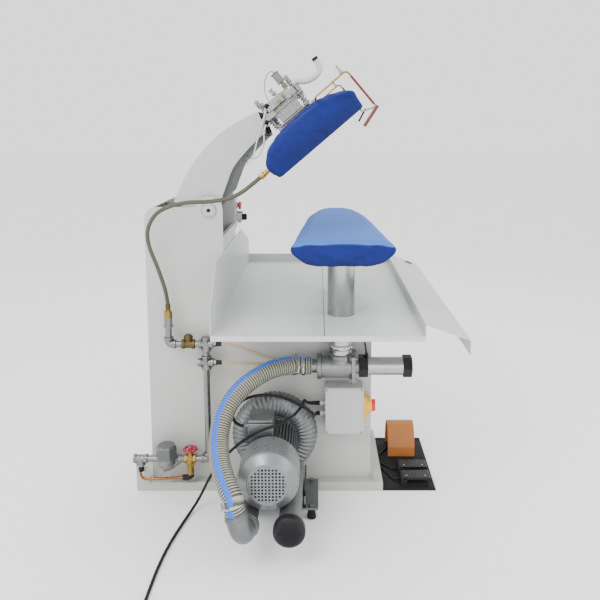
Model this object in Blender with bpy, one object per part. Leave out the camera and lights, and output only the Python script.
"""Collar and cuff press, modelled in metres with +Z up.

The origin is the middle of the base plate's underside. +X points to the operator and +Y away
from the side that carries the steam pipework and the vacuum blower.
"""
import math

import bmesh
import bpy
from mathutils import Matrix, Vector

# Clearances and stock sizes that many pieces share
GAP = 0.0003
RUN_GAP = 0.0006
OVERRUN = 0.002
SHEET = 0.002
PLATE = 0.005
FLOOR_GAP = 0.0002

# Base plate
BASE_HALF_LENGTH = 0.426
BASE_NEAR_Y = -0.201
BASE_FAR_Y = 0.201
BASE_HEIGHT = 0.0306
BASE_EDGE = 0.0025
BOLT_RADIUS = 0.006
BOLT_HEAD_RADIUS = 0.0105
BOLT_HEAD_HEIGHT = 0.008
BOLT_STAND = 0.026
BOLT_INSET = 0.027
WASHER_RADIUS = 0.015
WASHER_THICK = 0.003

# Cabinet and column
PANEL_NEAR_Y = -0.167
PANEL_FAR_Y = 0.159
CABINET_BACK_X = -0.377
CABINET_FRONT_X = 0.3835
COLUMN_FRONT_X = -0.116
COLUMN_TOP = 0.985
SHOULDER_RADIUS = 0.040
FRONT_PANEL_TOP = 0.884
HEM = 0.012

# Arm, its pivot and its closing lever
PIVOT_X = -0.162
PIVOT_Z = 0.974
PIVOT_RADIUS = 0.0125
BOSS_RADIUS = 0.046
CAP_RADIUS = 0.025
CAP_THICK = 0.007
SOCKET_RADIUS = 0.006
SOCKET_DEPTH = 0.004
BUSH_RADIUS = 0.024
BUSH_LENGTH = 0.012
ARM_NEAR_Y = -0.150
ARM_FAR_Y = 0.141
ARM_REACH = 0.192
ARM_RISE = 0.325
ARM_ROOT_RADIUS = 0.043
ARM_OUTER_SHARES = ((-0.615, 0.083), (-0.455, 0.290), (-0.276, 0.471), (-0.005, 0.662), (0.200, 0.775),
                    (0.432, 0.871), (0.660, 0.945), (0.865, 1.000))
ARM_INNER_SHARES = ((1.000, 0.782), (0.922, 0.757), (0.651, 0.597), (0.432, 0.437), (0.307, 0.262),
                    (0.227, 0.135))
LEVER_X = -0.150
LEVER_Z = -0.008
LEVER_PIN_RADIUS = 0.010
LEVER_EAR_RADIUS = 0.022
LEVER_BAR_HALF = 0.009
LEVER_BAR_X = -0.092

# Press cylinder inside the column
CYLINDER_PIN_X = -0.297
CYLINDER_PIN_Z = 0.420
CYLINDER_PIN_RADIUS = 0.008
CYLINDER_EYE_RADIUS = 0.020
CYLINDER_RADIUS = 0.040
CYLINDER_WALL = 0.004
CYLINDER_FOOT = 0.036
CYLINDER_LENGTH = 0.270
CYLINDER_CAP = 0.014
ROD_RADIUS = 0.010
ROD_EYE_RADIUS = 0.031
ROD_EYE_BORE = 0.0200
ROD_EYE_THICK = 0.030
PISTON_THICK = 0.022
EAR_THICK = 0.008
MOUNT_BAR_DEPTH = 0.050
MOUNT_BAR_HEIGHT = 0.036

# Table round the buck
TABLE_Z = 0.641
TABLE_NEAR_Y = -0.471
TABLE_FAR_Y = 0.616
TABLE_SEAM_X = 0.220
TABLE_RIGHT_X = 0.5185
UPSTAND = 0.035
APRON_X = 0.649
APRON_Z = 0.628
FLANGE = 0.045
NEAR_LIP = 0.016
BACKSPLASH_TOP = 0.836
BACKSPLASH_NEAR_Z = 0.718
BACKSPLASH_FAR_Z = 0.744
BACKSPLASH_NEAR_TOP_Y = -0.342
BACKSPLASH_FAR_TOP_Y = 0.317
BRACKET_X = 0.360
BRACKET_WIDTH = 0.060
BRACKET_DEPTH = 0.020
PIPE_BRACKET_INSET = 0.024
PIPE_BRACKET_X = -BASE_HALF_LENGTH + PIPE_BRACKET_INSET
PIPE_BRACKET_HEIGHT = 0.060
PIPE_BRACKET_WIDTH = 0.044
SLOT_LENGTH = 0.020
SLOT_WIDTH = 0.011

# Buck and the post that carries it
BUCK_X = 0.2765
BUCK_BELLY_Z = 0.836
BUCK_CROWN_Z = 0.9165
BUCK_SECTION_SHARES = ((0.0, 1.0), (0.35, 0.985), (0.65, 0.945), (0.86, 0.885), (0.96, 0.80), (1.0, 0.67),
                       (0.975, 0.52), (0.90, 0.37), (0.78, 0.23), (0.60, 0.11), (0.40, 0.03), (0.20, 0.0))
PAD_ROW_SHARES = (0.0, 0.012, 0.035, 0.08, 0.25, 0.50, 0.70, 0.82, 0.90, 0.96, 1.0)
BUCK_HALF_WIDTH = 0.164
BUCK_NEAR_Y = -0.430
BUCK_FAR_Y = 0.438
POST_Y = 0.030
POST_HALF = 0.028
POST_PLATE_HALF_X = 0.046
POST_PLATE_NEAR_Y = -0.150
POST_PLATE_FAR_Y = 0.250

# Vacuum duct, tee and the valve's air cylinder
DUCT_Y = -0.230
SLEEVE_RADIUS = 0.0445
PIPE_RADIUS = 0.036
DUCT_WALL = 0.0025
SLEEVE_FOOT_Z = 0.610
REDUCER_Z = 0.590
PIPE_RING_Z = 0.531
PIPE_RING_HALF = 0.006
PIPE_RING_RADIUS = 0.040
TEE_Z = 0.461
TEE_RADIUS = 0.039
TEE_LEFT_X = 0.198
TEE_RIGHT_X = 0.324
TEE_BRANCH_TOP = 0.506
TEE_RIM_RADIUS = 0.043
TEE_RIM_WIDTH = 0.014
TEE_BORE = 0.033
NIPPLE_LEFT_X = 0.150
NIPPLE_RADIUS = 0.0229
NIPPLE_BORE = 0.020
GLAND_NUT_RADIUS = 0.026
GLAND_NUT_WIDTH = 0.0122
VALVE_CAP_RADIUS = 0.0375
VALVE_CAP_WIDTH = 0.0295
VALVE_TUBE_RADIUS = 0.0295
VALVE_TUBE_WALL = 0.0025
VALVE_TUBE_LENGTH = 0.116
VALVE_ROD_RADIUS = 0.006
VALVE_DISC_THICK = 0.010
VALVE_DISC_INSET = 0.020
VALVE_PISTON_THICK = 0.014
TIE_BOLT_RADIUS = 0.0045
TIE_BOLT_CIRCLE = 0.052
TIE_EAR_RADIUS = 0.010
TIE_BOLT_END = 0.004

# Vacuum hose from the tee to the blower
HOSE_RADIUS = 0.030
HOSE_RIB = 0.0018
HOSE_WALL = 0.0045
HOSE_RIBS = 42
HOSE_SIDES = 8
HOSE_ROUTE = ((0.104, -0.246, 0.467), (0.048, -0.286, 0.468), (-0.0115, -0.330, 0.448),
              (-0.060, -0.380, 0.4152), (-0.088, -0.430, 0.371), (-0.094, -0.478, 0.326),
              (-0.082, -0.540, 0.285), (-0.056, -0.600, 0.252), (-0.034, -0.634, 0.226))
CLAMP_THICK = 0.0022
CLAMP_WIDTH = 0.009
CLAMP_VALVE_POINT = 3
CLAMP_BLOWER_POINT = 3
CLAMP_SCREW_RADIUS = 0.005
CLAMP_SCREW_LENGTH = 0.018

# Side channel blower
SHAFT_X = 0.057
SHAFT_Z = 0.237
RING_Y = -0.250
RING_RADIUS = 0.098
RING_TUBE_RADIUS = 0.044
RING_FIN = 0.0035
RING_FINS = 17
RING_OPEN_DEG = 84.0
HUB_RADIUS = 0.066
MOTOR_RADIUS = 0.080
MOTOR_FIN = 0.009
MOTOR_FINS = 14
MOTOR_FRONT_Y = -0.496
COWL_RADIUS = 0.090
COWL_FRONT_Y = -0.578
GRILLE_RADIUS = 0.0585
COWL_SLOPE = 0.020
FAN_RADIUS = 0.060
FAN_HUB_RADIUS = 0.020
FAN_BLADES = 6
FAN_BLADE_THICK = 0.003
SHAFT_RADIUS = 0.009
TERMINAL_HALF_X = 0.038
TERMINAL_X = 0.026
TERMINAL_Y = -0.400
TERMINAL_HALF_Y = 0.045
TERMINAL_FOOT_Z = 0.3135
TERMINAL_TOP_Z = 0.368
PORT_SPREAD = 0.063
PORT_Z = 0.122
PORT_RADIUS = 0.033
PORT_FRONT_Y = -0.586
PORT_FLANGE_RADIUS = 0.040
PORT_FLANGE_WIDTH = 0.010
END_SHIELD_SETBACK = 0.016
END_SHIELD_WIDTH = 0.010
ELBOW_RADIUS = 0.0320
ELBOW_LEAD = 0.012
ELBOW_TURN = 0.034
ELBOW_STRAIGHT = 0.032
ELBOW_STEPS = 5
ELBOW_WAY_SHARES = (-0.30, 0.12, 0.95)
FILTER_RADIUS = 0.046
FILTER_LENGTH = 0.034
FOOT_HALF_WIDTH = 0.145
FOOT_NEAR_Y = -0.386
FOOT_FAR_Y = -0.205
FOOT_Z = 0.042
FOOT_PLATE = 0.006
FOOT_WEB_HEIGHT = 0.060
RAIL_WIDTH = 0.043
RUBBER_RADIUS = 0.015
RUBBER_INSET = 0.030

# Electrical box with its isolator
BOX_LEFT_X = 0.224
BOX_RIGHT_X = 0.3545
BOX_NEAR_Y = -0.236
BOX_FOOT_Z = 0.2226
BOX_TOP_Z = 0.385
BOX_EDGE = 0.003
GLAND_RADIUS = 0.0085
GLAND_LENGTH = 0.016
GLAND_Y = -0.200
MAINS_GLAND_Z = 0.318
MOTOR_GLAND_Z = 0.282
ISOLATOR_Z = 0.3115
ISOLATOR_HALF = 0.040
ISOLATOR_HALF_Y = 0.032
ISOLATOR_PLATE = 0.008
ISOLATOR_BODY = 0.020
ISOLATOR_BODY_HALF = 0.027
ISOLATOR_KNOB_RADIUS = 0.017
ISOLATOR_KNOB_WIDTH = 0.013

# Steam pipework on the near panel
STEAM_Y = -0.215
STEAM_PIPE_RADIUS = 0.0105
STEAM_FITTING_RADIUS = 0.0155
STEAM_BEAD = 0.0165
BEAD_WIDTH = 0.008
RISER_X = -0.172
STEAM_LOW_Z = 0.126
STEAM_MID_Z = 0.467
STEAM_TOP_Z = 0.531
STEAM_LEFT_X = -0.296
STEAM_COUPLING_TOP = 0.624
STEAM_HEX_TOP = 0.648
STEAM_HEX_RADIUS = 0.0135
TEE_REACH = 0.024
BLACK_FITTING_LENGTH = 0.026
CHECK_X = -0.231
CHECK_HALF = 0.022
CHECK_RADIUS = 0.0165
CHECK_CAP_RADIUS = 0.0155
CHECK_CAP_HEIGHT = 0.034
GATE_X = -0.2345
GATE_HALF = 0.020
GATE_RADIUS = 0.0150
GATE_STEM_RADIUS = 0.005
GATE_BONNET_TOP = 0.150
GATE_DROP = 0.056
WHEEL_RADIUS = 0.0245
WHEEL_RIM = 0.0042
WHEEL_Z = 0.160
WHEEL_HUB_RADIUS = 0.0085
WHEEL_HUB_HEIGHT = 0.012
WHEEL_LOBES = 8
TRAP_X = -0.311
TRAP_Y = -0.236
TRAP_CAP_RADIUS = 0.0345
TRAP_CAP_FOOT_Z = 0.140
TRAP_CAP_TOP_Z = 0.186
TRAP_BODY_RADIUS = 0.028
TRAP_BODY_FOOT_Z = 0.104
TRAP_CAP_CHAMFER = 0.005
STRAINER_RADIUS = 0.0125
STRAINER_FALL_X = 0.062
STRAINER_FALL_Z = 0.050
SUPPLY_TEE_X = -0.404
COPPER_RADIUS = 0.0042
COPPER_Z = 0.0665
COPPER_BEND = 0.026
FERRULE_RADIUS = 0.0095
FERRULE_LENGTH = 0.022

# Steam hose to the head and the two supply hoses
STEAM_HOSE_RADIUS = 0.0066
STEAM_HOSE_ROUTE = ((-0.3022, -0.223, 0.7205), (-0.3207, -0.228, 0.7873), (-0.3470, -0.231, 0.865),
                    (-0.3490, -0.234, 0.9194), (-0.3215, -0.238, 0.9692), (-0.2747, -0.243, 0.9959),
                    (-0.2150, -0.250, 1.0095), (-0.1492, -0.258, 1.0133), (-0.0829, -0.266, 1.0241),
                    (-0.0398, -0.274, 1.0445))
SUPPLY_HOSE_RADIUS = 0.0052
SUPPLY_TOP_ROUTE = ((-0.060, -0.209, 0.524), (0.000, -0.205, 0.513), (0.060, -0.200, 0.497),
                    (0.100, -0.196, 0.484), (0.118, -0.188, 0.478))
SUPPLY_LOW_ROUTE = ((-0.080, -0.209, 0.464), (-0.030, -0.204, 0.461), (0.030, -0.200, 0.460),
                    (0.078, -0.196, 0.459), (0.094, -0.188, 0.459))

# Cables
CABLE_RADIUS = 0.0045
MOTOR_CABLE_ROUTE = ((0.1900, -0.235, 0.2900), (0.1910, -0.285, 0.3150), (0.1550, -0.332, 0.3620),
                     (0.0900, -0.344, 0.4000), (0.0286, -0.346, 0.4097), (-0.0200, -0.345, 0.4000),
                     (-0.0500, -0.345, 0.3820), (-0.0660, -0.355, 0.3560), (-0.0680, -0.380, 0.3380))
MAINS_ROUTE = ((0.182, -0.236, 0.324), (0.176, -0.290, 0.328), (0.112, -0.380, 0.338),
               (0.070, -0.455, 0.352),
               (0.046, -0.470, 0.3559), (0.000, -0.462, 0.330), (-0.060, -0.425, 0.270),
               (-0.110, -0.375, 0.198), (-0.1521, -0.330, 0.1219), (-0.178, -0.302, 0.056),
               (-0.196, -0.292, 0.0155), (-0.206, -0.305, 0.0058), (-0.2180, -0.350, 0.0050),
               (-0.2300, -0.410, 0.0050), (-0.2430, -0.480, 0.0050), (-0.2520, -0.550, 0.0050),
               (-0.2560, -0.630, 0.0050), (-0.2560, -0.720, 0.0050), (-0.2560, -0.812, 0.0050))
COIL_X = -0.3183
COIL_Y = -0.902
COIL_INNER_RADIUS = 0.0403
COIL_LAYER_TURNS = 2
COIL_TURN_POINTS = 24
COIL_SPACE = 0.0020
COIL_LIFT = 0.0096
COIL_TAIL = 0.030
PLUG_RADIUS = 0.014
PLUG_LENGTH = 0.046
PLUG_NECK_RADIUS = 0.0075
PLUG_NECK_LENGTH = 0.018
PLUG_PIN_RADIUS = 0.0024
PLUG_PIN_LENGTH = 0.018
PLUG_PIN_SPREAD = 0.0070

# Foot controls
MAT_LEFT_X = BASE_HALF_LENGTH + GAP
MAT_LENGTH = 0.1827
MAT_RIGHT_X = MAT_LEFT_X + MAT_LENGTH
MAT_NEAR_Y = -0.200
MAT_FAR_Y = 0.180
MAT_THICK = 0.005
GUARD_INSET = 0.0407
GUARD_WIDTH = 0.101
GUARD_LEFT_X = MAT_LEFT_X + GUARD_INSET
GUARD_RIGHT_X = GUARD_LEFT_X + GUARD_WIDTH
GUARD_NEAR_Y = 0.028
GUARD_FAR_Y = 0.150
GUARD_TOP_Z = 0.120
GUARD_SHEET = 0.0025
GUARD_KNEE_SHARES = ((0.000, 0.000), (0.015, 0.300), (0.130, 0.720), (0.330, 0.950), (0.500, 1.000),
                     (0.670, 0.950),
                     (0.870, 0.720), (0.985, 0.300), (1.000, 0.000))
PEDAL_INSET = 0.0657
PEDAL_LENGTH = 0.104
PEDAL_LEFT_X = MAT_LEFT_X + PEDAL_INSET
PEDAL_RIGHT_X = PEDAL_LEFT_X + PEDAL_LENGTH
PEDAL_NEAR_Y_VALUES = (-0.180, -0.106)
PEDAL_WIDTH = 0.066
PEDAL_TOP_Z = 0.032
PEDAL_THICK = 0.009
PEDAL_HINGE_RADIUS = 0.004
PEDAL_FOOT_HEIGHT = 0.005
PEDAL_SIDE = 0.006
GUARDED_PEDAL_INSET = 0.0497
GUARDED_PEDAL_LEFT_X = MAT_LEFT_X + GUARDED_PEDAL_INSET
GUARDED_PEDAL_LENGTH = 0.086
GUARDED_PEDAL_NEAR_Y = 0.056

# Head, in its own frame: X along the pressing face, Z away from the face
HEAD_CENTRE_X = 0.214
HEAD_CENTRE_Z = 1.2025
HEAD_RISE_DEG = 40.5
HEAD_HALF_FACE = 0.1535
HEAD_THICK = 0.101
HEAD_NEAR_Y = -0.430
HEAD_FAR_Y = 0.425
HEAD_SPAN = 0.344
HEAD_MIDDLE_U = 0.148
HEAD_SECTION_SHARES = ((-0.430, 0.000), (-0.475, 0.110), (-0.500, 0.307), (-0.483, 0.614),
                       (-0.361, 0.851), (-0.157, 1.000), (0.192, 1.000), (0.488, 0.644),
                       (0.500, 0.327), (0.490, 0.110), (0.462, 0.000), (0.000, -0.012))
STACK_LEFT_U = 0.066
STACK_RIGHT_U = 0.214
STACK_NEAR_Y = -0.200
STACK_FAR_Y = 0.150
STACK_LAYER = 0.004
STACK_SPACE = 0.006
STACK_SPACER_RADIUS = 0.009
BRACKET_LEFT_U = 0.012
BRACKET_BLOCK_LEFT_U = 0.092
BRACKET_RIGHT_U = 0.180
BRACKET_TOP_N = 0.212
FLANGE_N = 0.168
FLANGE_LEFT_U = 0.054
FLANGE_RIGHT_U = 0.214
STUD_LEFT_U = 0.070
STUD_RIGHT_U = 0.198
STUD_NEAR_Y = -0.120
STUD_FAR_Y = 0.110
STUD_RADIUS = 0.005
STUD_TOP_N = 0.206
STUD_NUT_RADIUS = 0.010
STUD_NUT_HEIGHT = 0.008
SPRING_RADIUS = 0.0098
SPRING_WIRE = 0.0014
SPRING_CURLS = 4
CURL_POINTS = 9
BRACKET_NEAR_Y = -0.100
BRACKET_FAR_Y = 0.090
CAN_U = 0.1777
CAN_Y = -0.060
CAN_FOOT_N = 0.238
CAN_TOP_N = 0.277
CAN_RADIUS = 0.0135
CAN_RIM_RADIUS = 0.0165
CAN_RIM_WIDTH = 0.003
CAN_STEM_RADIUS = 0.007
INLET_Y = -0.290
INLET_N = 0.0417
INLET_LENGTH = 0.046
INLET_HEX_RADIUS = 0.0115
INLET_HEX_LENGTH = 0.016
INLET_NIPPLE_RADIUS = 0.0068

# Finger guard on the head, in the head's frame
GUARD_ROD_RADIUS = 0.0028
GUARD_PIVOT_U = 0.222
GUARD_PIVOT_N = 0.112
GUARD_CORNER_U = 0.336
GUARD_LOW_N = -0.020
GUARD_SIDE_NEAR_Y = -0.456
GUARD_SIDE_FAR_Y = 0.150
HANDLE_RADIUS = 0.0048
HANDLE_LENGTH = 0.066
HANDLE_DROP = 0.020
HANDLE_FAR_SHIFT = 0.012
HANDLE_FAR_LENGTH = 0.050
GUARD_EAR_THICK = 0.006
GUARD_EAR_RADIUS = 0.008

# Controls on the column's front and on the apron
CONTROL_FAR_Y = 0.236
CONTROL_FOOT_Z = 0.862
CONTROL_TOP_Z = 0.985
BUTTON_Y = 0.196
BUTTON_Z = 0.948
BUTTON_RADIUS = 0.016
BUTTON_HEAD = 0.010
BUTTON_STEM_RADIUS = 0.008
BUTTON_STEM = 0.014
COLLAR_RADIUS = 0.014
COLLAR_THICK = 0.006
KNOB_Y = 0.200
KNOB_Z = 0.902
KNOB_RADIUS = 0.0125
KNOB_LENGTH = 0.018
REGULATOR_RADIUS = 0.015
REGULATOR_LENGTH = 0.022
ROCKER_SHARE = 0.655
ROCKER_Y = 0.550
ROCKER_HALF_LENGTH = 0.013
ROCKER_HALF_WIDTH = 0.008
ROCKER_HEIGHT = 0.007
BEZEL_HALF_LENGTH = 0.018
BEZEL_HALF_WIDTH = 0.012
BEZEL_HEIGHT = 0.003
ROCKER_CLEAR = 0.0012
ROCKER_KEEL_SHARE = 0.45
ROCKER_DIP_SHARE = 0.70

# Round pieces' side counts
FINE = 20
MEDIUM = 12
COARSE = 8
SMALL = 6
HEX = 6


# Helpers that make meshes

def clear_scene():
    for old in list(bpy.data.objects):
        bpy.data.objects.remove(old, do_unlink=True)


def material(name, colour, roughness, metallic=0.0):
    made = bpy.data.materials.new(name)
    made.use_nodes = True
    shader = made.node_tree.nodes["Principled BSDF"]
    shader.inputs["Base Color"].default_value = (*colour, 1.0)
    shader.inputs["Roughness"].default_value = roughness
    shader.inputs["Metallic"].default_value = metallic
    made.diffuse_color = (*colour, 1.0)
    return made


def mesh_from(build):
    """A mesh that the function build fills as a bmesh, with its faces out."""
    bm = bmesh.new()
    build(bm)
    bmesh.ops.recalc_face_normals(bm, faces=bm.faces)
    mesh = bpy.data.meshes.new("mesh")
    bm.to_mesh(mesh)
    bm.free()
    return mesh


def prism(outline, low, high, axis="Y"):
    """The closed outline pushed along an axis. Its points are the two other axes in X, Y, Z order."""
    def place(point, depth):
        if axis == "X":
            return (depth, point[0], point[1])
        if axis == "Y":
            return (point[0], depth, point[1])
        return (point[0], point[1], depth)

    def build(bm):
        first = [bm.verts.new(place(point, low)) for point in outline]
        last = [bm.verts.new(place(point, high)) for point in outline]
        bm.faces.new(first)
        bm.faces.new(list(reversed(last)))
        for index in range(len(outline)):
            after = (index + 1) % len(outline)
            bm.faces.new((first[index], last[index], last[after], first[after]))
    return mesh_from(build)


def box(low, high):
    outline = ((low[0], low[2]), (high[0], low[2]), (high[0], high[2]), (low[0], high[2]))
    return prism(outline, low[1], high[1])


def bevelled_box(low, high, edge):
    made = box(low, high)
    bm = bmesh.new()
    bm.from_mesh(made)
    bmesh.ops.bevel(bm, geom=bm.edges[:], offset=edge, segments=1, affect="EDGES")
    bm.to_mesh(made)
    bm.free()
    return made


def lathe(profile, origin, direction, sides):
    """A turned solid. The profile's points are (along the axis, radius), and it is closed."""
    turn = Vector(direction).normalized().to_track_quat("Z", "Y").to_matrix()
    base = Vector(origin)

    def build(bm):
        rows = []
        for along, radius in profile:
            if radius == 0.0:
                rows.append([bm.verts.new(base + turn @ Vector((0.0, 0.0, along)))])
                continue
            row = []
            for side in range(sides):
                angle = 2.0 * math.pi * side / sides
                spot = Vector((radius * math.cos(angle), radius * math.sin(angle), along))
                row.append(bm.verts.new(base + turn @ spot))
            rows.append(row)
        closed = len(rows[0]) > 1
        pairs = list(zip(rows, rows[1:]))
        if closed:
            pairs.append((rows[-1], rows[0]))
        for lower, upper in pairs:
            for side in range(sides):
                after = (side + 1) % sides
                corners = [lower[side % len(lower)], lower[after % len(lower)],
                           upper[after % len(upper)], upper[side % len(upper)]]
                unique = list(dict.fromkeys(corners))
                if len(unique) > 2:
                    bm.faces.new(unique)
    return mesh_from(build)


def rod(start, end, radius, sides=COARSE, end_radius=None):
    """A straight round bar between two points, or a cone where end_radius differs."""
    line = Vector(end) - Vector(start)
    last = radius if end_radius is None else end_radius
    return lathe(((0.0, 0.0), (0.0, radius), (line.length, last), (line.length, 0.0)), start, line, sides)


def ring(start, end, outer, inner, sides=MEDIUM):
    """A tube between two points."""
    line = Vector(end) - Vector(start)
    return lathe(((0.0, inner), (0.0, outer), (line.length, outer), (line.length, inner)), start, line,
                 sides)


def bore(radius, sides):
    """The radius of a faceted hole that clears a faceted pin of this radius all round."""
    return (radius + GAP) / math.cos(math.pi / sides)


def joined(*meshes):
    """Separate bodies in one mesh."""
    bm = bmesh.new()
    for mesh in meshes:
        bm.from_mesh(mesh)
    made = bpy.data.meshes.new("mesh")
    bm.to_mesh(made)
    bm.free()
    return made


def boolean(base, tools, operation):
    """The base mesh joined with, or cut by, each of the tools in turn."""
    owner = bpy.data.objects.new("boolean_base", base)
    bpy.context.collection.objects.link(owner)
    cutters = []
    for tool in tools:
        cutter = bpy.data.objects.new("boolean_tool", tool)
        bpy.context.collection.objects.link(cutter)
        cutter.hide_render = True
        cutter.display_type = "WIRE"
        step = owner.modifiers.new("step", "BOOLEAN")
        step.operation = operation
        step.solver = "EXACT"
        step.object = cutter
        cutters.append(cutter)
    bpy.context.view_layer.update()
    depsgraph = bpy.context.evaluated_depsgraph_get()
    made = bpy.data.meshes.new_from_object(owner.evaluated_get(depsgraph))
    for used in [owner, *cutters]:
        bpy.data.objects.remove(used, do_unlink=True)
    return made


def union(base, *others):
    return boolean(base, others, "UNION")


def cut(base, *cutters):
    return boolean(base, cutters, "DIFFERENCE")


def sheet(points, thick, low, high, axis="Y"):
    """A folded sheet: the open line of points, thickened to its left, pushed along an axis."""
    line = [Vector(point) for point in points]
    normals = []
    for before, after in zip(line, line[1:]):
        run = (after - before).normalized()
        normals.append(Vector((-run.y, run.x)))
    offset = []
    for index, point in enumerate(line):
        first = normals[max(index - 1, 0)]
        second = normals[min(index, len(normals) - 1)]
        mitre = (first + second).normalized()
        offset.append(point + mitre * (thick / mitre.dot(first)))
    return prism([tuple(p) for p in line] + [tuple(p) for p in reversed(offset)], low, high, axis)


def arc(centre, radius, start_deg, end_deg, steps):
    """Points on an arc in a plane, both ends included."""
    points = []
    for step in range(steps + 1):
        angle = math.radians(start_deg + (end_deg - start_deg) * step / steps)
        points.append((centre[0] + radius * math.cos(angle), centre[1] + radius * math.sin(angle)))
    return points


def smooth(route, count, keep_ends=False):
    """Points at even steps along a smooth curve through the route, with the route's second and
    second to last points kept where the ends must run straight."""
    knots = [Vector(point) for point in route]
    padded = [knots[0] * 2 - knots[1], *knots, knots[-1] * 2 - knots[-2]]
    dense = []
    parts = 16
    for index in range(1, len(padded) - 2):
        before, start, end, after = padded[index - 1:index + 3]
        for part in range(parts):
            t = part / parts
            dense.append(0.5 * (2 * start + (end - before) * t
                                + (2 * before - 5 * start + 4 * end - after) * t ** 2
                                + (3 * start - before - 3 * end + after) * t ** 3))
    dense.append(knots[-1])
    lengths = [0.0]
    for before, after in zip(dense, dense[1:]):
        lengths.append(lengths[-1] + (after - before).length)
    even = []
    spot = 0
    for step in range(count):
        wanted = lengths[-1] * step / (count - 1)
        while spot < len(dense) - 2 and lengths[spot + 1] < wanted:
            spot += 1
        share = (wanted - lengths[spot]) / (lengths[spot + 1] - lengths[spot])
        even.append(dense[spot].lerp(dense[spot + 1], min(max(share, 0.0), 1.0)))
    if keep_ends:
        return [even[0], knots[1], *even[1:-1], knots[-2], even[-1]]
    return even


def lead(end, way, length):
    """Points of a straight run from a cord's end, for a route's first or, reversed, last points."""
    return [end, end + way * length / 3, end + way * length * 2 / 3, end + way * length]


def tube_curve(name, points, radius, resolution=2, thickness_shares=None):
    """A curve object with a round bevel and filled caps through the points."""
    curve = bpy.data.curves.new(name, "CURVE")
    curve.dimensions = "3D"
    curve.bevel_depth = radius
    curve.bevel_resolution = resolution
    curve.use_fill_caps = True
    spline = curve.splines.new("POLY")
    spline.points.add(len(points) - 1)
    for index, point in enumerate(points):
        spline.points[index].co = (*point, 1.0)
        if thickness_shares:
            spline.points[index].radius = thickness_shares[index]
    owner = bpy.data.objects.new(name, curve)
    bpy.context.collection.objects.link(owner)
    return owner


def tube_mesh(points, radius, resolution=2, thickness_shares=None):
    """The same tube as a closed mesh."""
    owner = tube_curve("tube", points, radius, resolution, thickness_shares)
    bpy.context.view_layer.update()
    made = bpy.data.meshes.new_from_object(owner.evaluated_get(bpy.context.evaluated_depsgraph_get()))
    bpy.data.objects.remove(owner, do_unlink=True)
    bm = bmesh.new()
    bm.from_mesh(made)
    bmesh.ops.remove_doubles(bm, verts=bm.verts, dist=GAP / 10)
    bmesh.ops.recalc_face_normals(bm, faces=bm.faces)
    bm.to_mesh(made)
    bm.free()
    return made


def shell_tube(points, radii, inner_radius, skip, sides):
    """A tube with a bore through it. The bore keeps one of every skip points."""
    ways = [(points[min(i + 1, len(points) - 1)] - points[max(i - 1, 0)]).normalized()
            for i in range(len(points))]
    across = ways[0].orthogonal().normalized()
    frames = []
    for way in ways:
        across = (across - way * across.dot(way)).normalized()
        frames.append((across.copy(), way.cross(across)))
    last = len(points) - 1
    rows = [(index, radii[index]) for index in range(last + 1)]
    rows += [(index, inner_radius) for index in [last, *range(last - last % skip, 0, -skip), 0]]

    def build(bm):
        made = []
        for index, radius in dict.fromkeys(rows):
            side_way, up_way = frames[index]
            row = []
            for side in range(sides):
                angle = 2.0 * math.pi * side / sides
                row.append(bm.verts.new(points[index]
                                        + (side_way * math.cos(angle) + up_way * math.sin(angle)) * radius))
            made.append(row)
        for lower, upper in zip(made, made[1:] + made[:1]):
            for side in range(sides):
                after = (side + 1) % sides
                bm.faces.new((lower[side], lower[after], upper[after], upper[side]))
    return mesh_from(build)


def node(name, mesh, finish, parent=None, at=(0.0, 0.0, 0.0)):
    """One named piece, at a place in its parent's frame."""
    piece = bpy.data.objects.new(name, mesh)
    bpy.context.collection.objects.link(piece)
    piece.parent = parent
    piece.location = at
    mesh.materials.clear()
    mesh.materials.append(finish)
    mesh.shade_smooth()
    mesh.set_sharp_from_angle(angle=math.radians(32.0))
    return piece


def cord_node(name, points, radius, finish, resolution=2):
    piece = tube_curve(name, points, radius, resolution)
    piece.data.materials.append(finish)
    return piece


def frame_empty(name, at, rise_deg=0.0, parent=None):
    """An empty that carries moving pieces. A positive rise lifts its X axis towards Z."""
    empty = bpy.data.objects.new(name, None)
    bpy.context.collection.objects.link(empty)
    empty.parent = parent
    empty.location = at
    empty.rotation_euler = (0.0, -math.radians(rise_deg), 0.0)
    return empty


def hex_bar(start, end, radius):
    return rod(start, end, radius, HEX)


# Base, cabinet and column

def make_base(paint):
    low = (-BASE_HALF_LENGTH, BASE_NEAR_Y, 0.0)
    high = (BASE_HALF_LENGTH, BASE_FAR_Y, BASE_HEIGHT)
    bolts = []
    for x in (-BASE_HALF_LENGTH + BOLT_INSET, BASE_HALF_LENGTH - BOLT_INSET):
        for y in (BASE_NEAR_Y + BOLT_INSET, BASE_FAR_Y - BOLT_INSET):
            profile = ((-WASHER_THICK, 0.0), (-WASHER_THICK, WASHER_RADIUS), (WASHER_THICK, WASHER_RADIUS),
                       (WASHER_THICK, BOLT_HEAD_RADIUS),
                       (WASHER_THICK + BOLT_HEAD_HEIGHT, BOLT_HEAD_RADIUS),
                       (WASHER_THICK + BOLT_HEAD_HEIGHT, BOLT_RADIUS), (BOLT_STAND, BOLT_RADIUS),
                       (BOLT_STAND, 0.0))
            bolts.append(lathe(profile, (x, y, BASE_HEIGHT), (0, 0, 1), COARSE))
    node("base_plate", union(bevelled_box(low, high, BASE_EDGE), make_pipe_bracket(), *bolts), paint)


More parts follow.
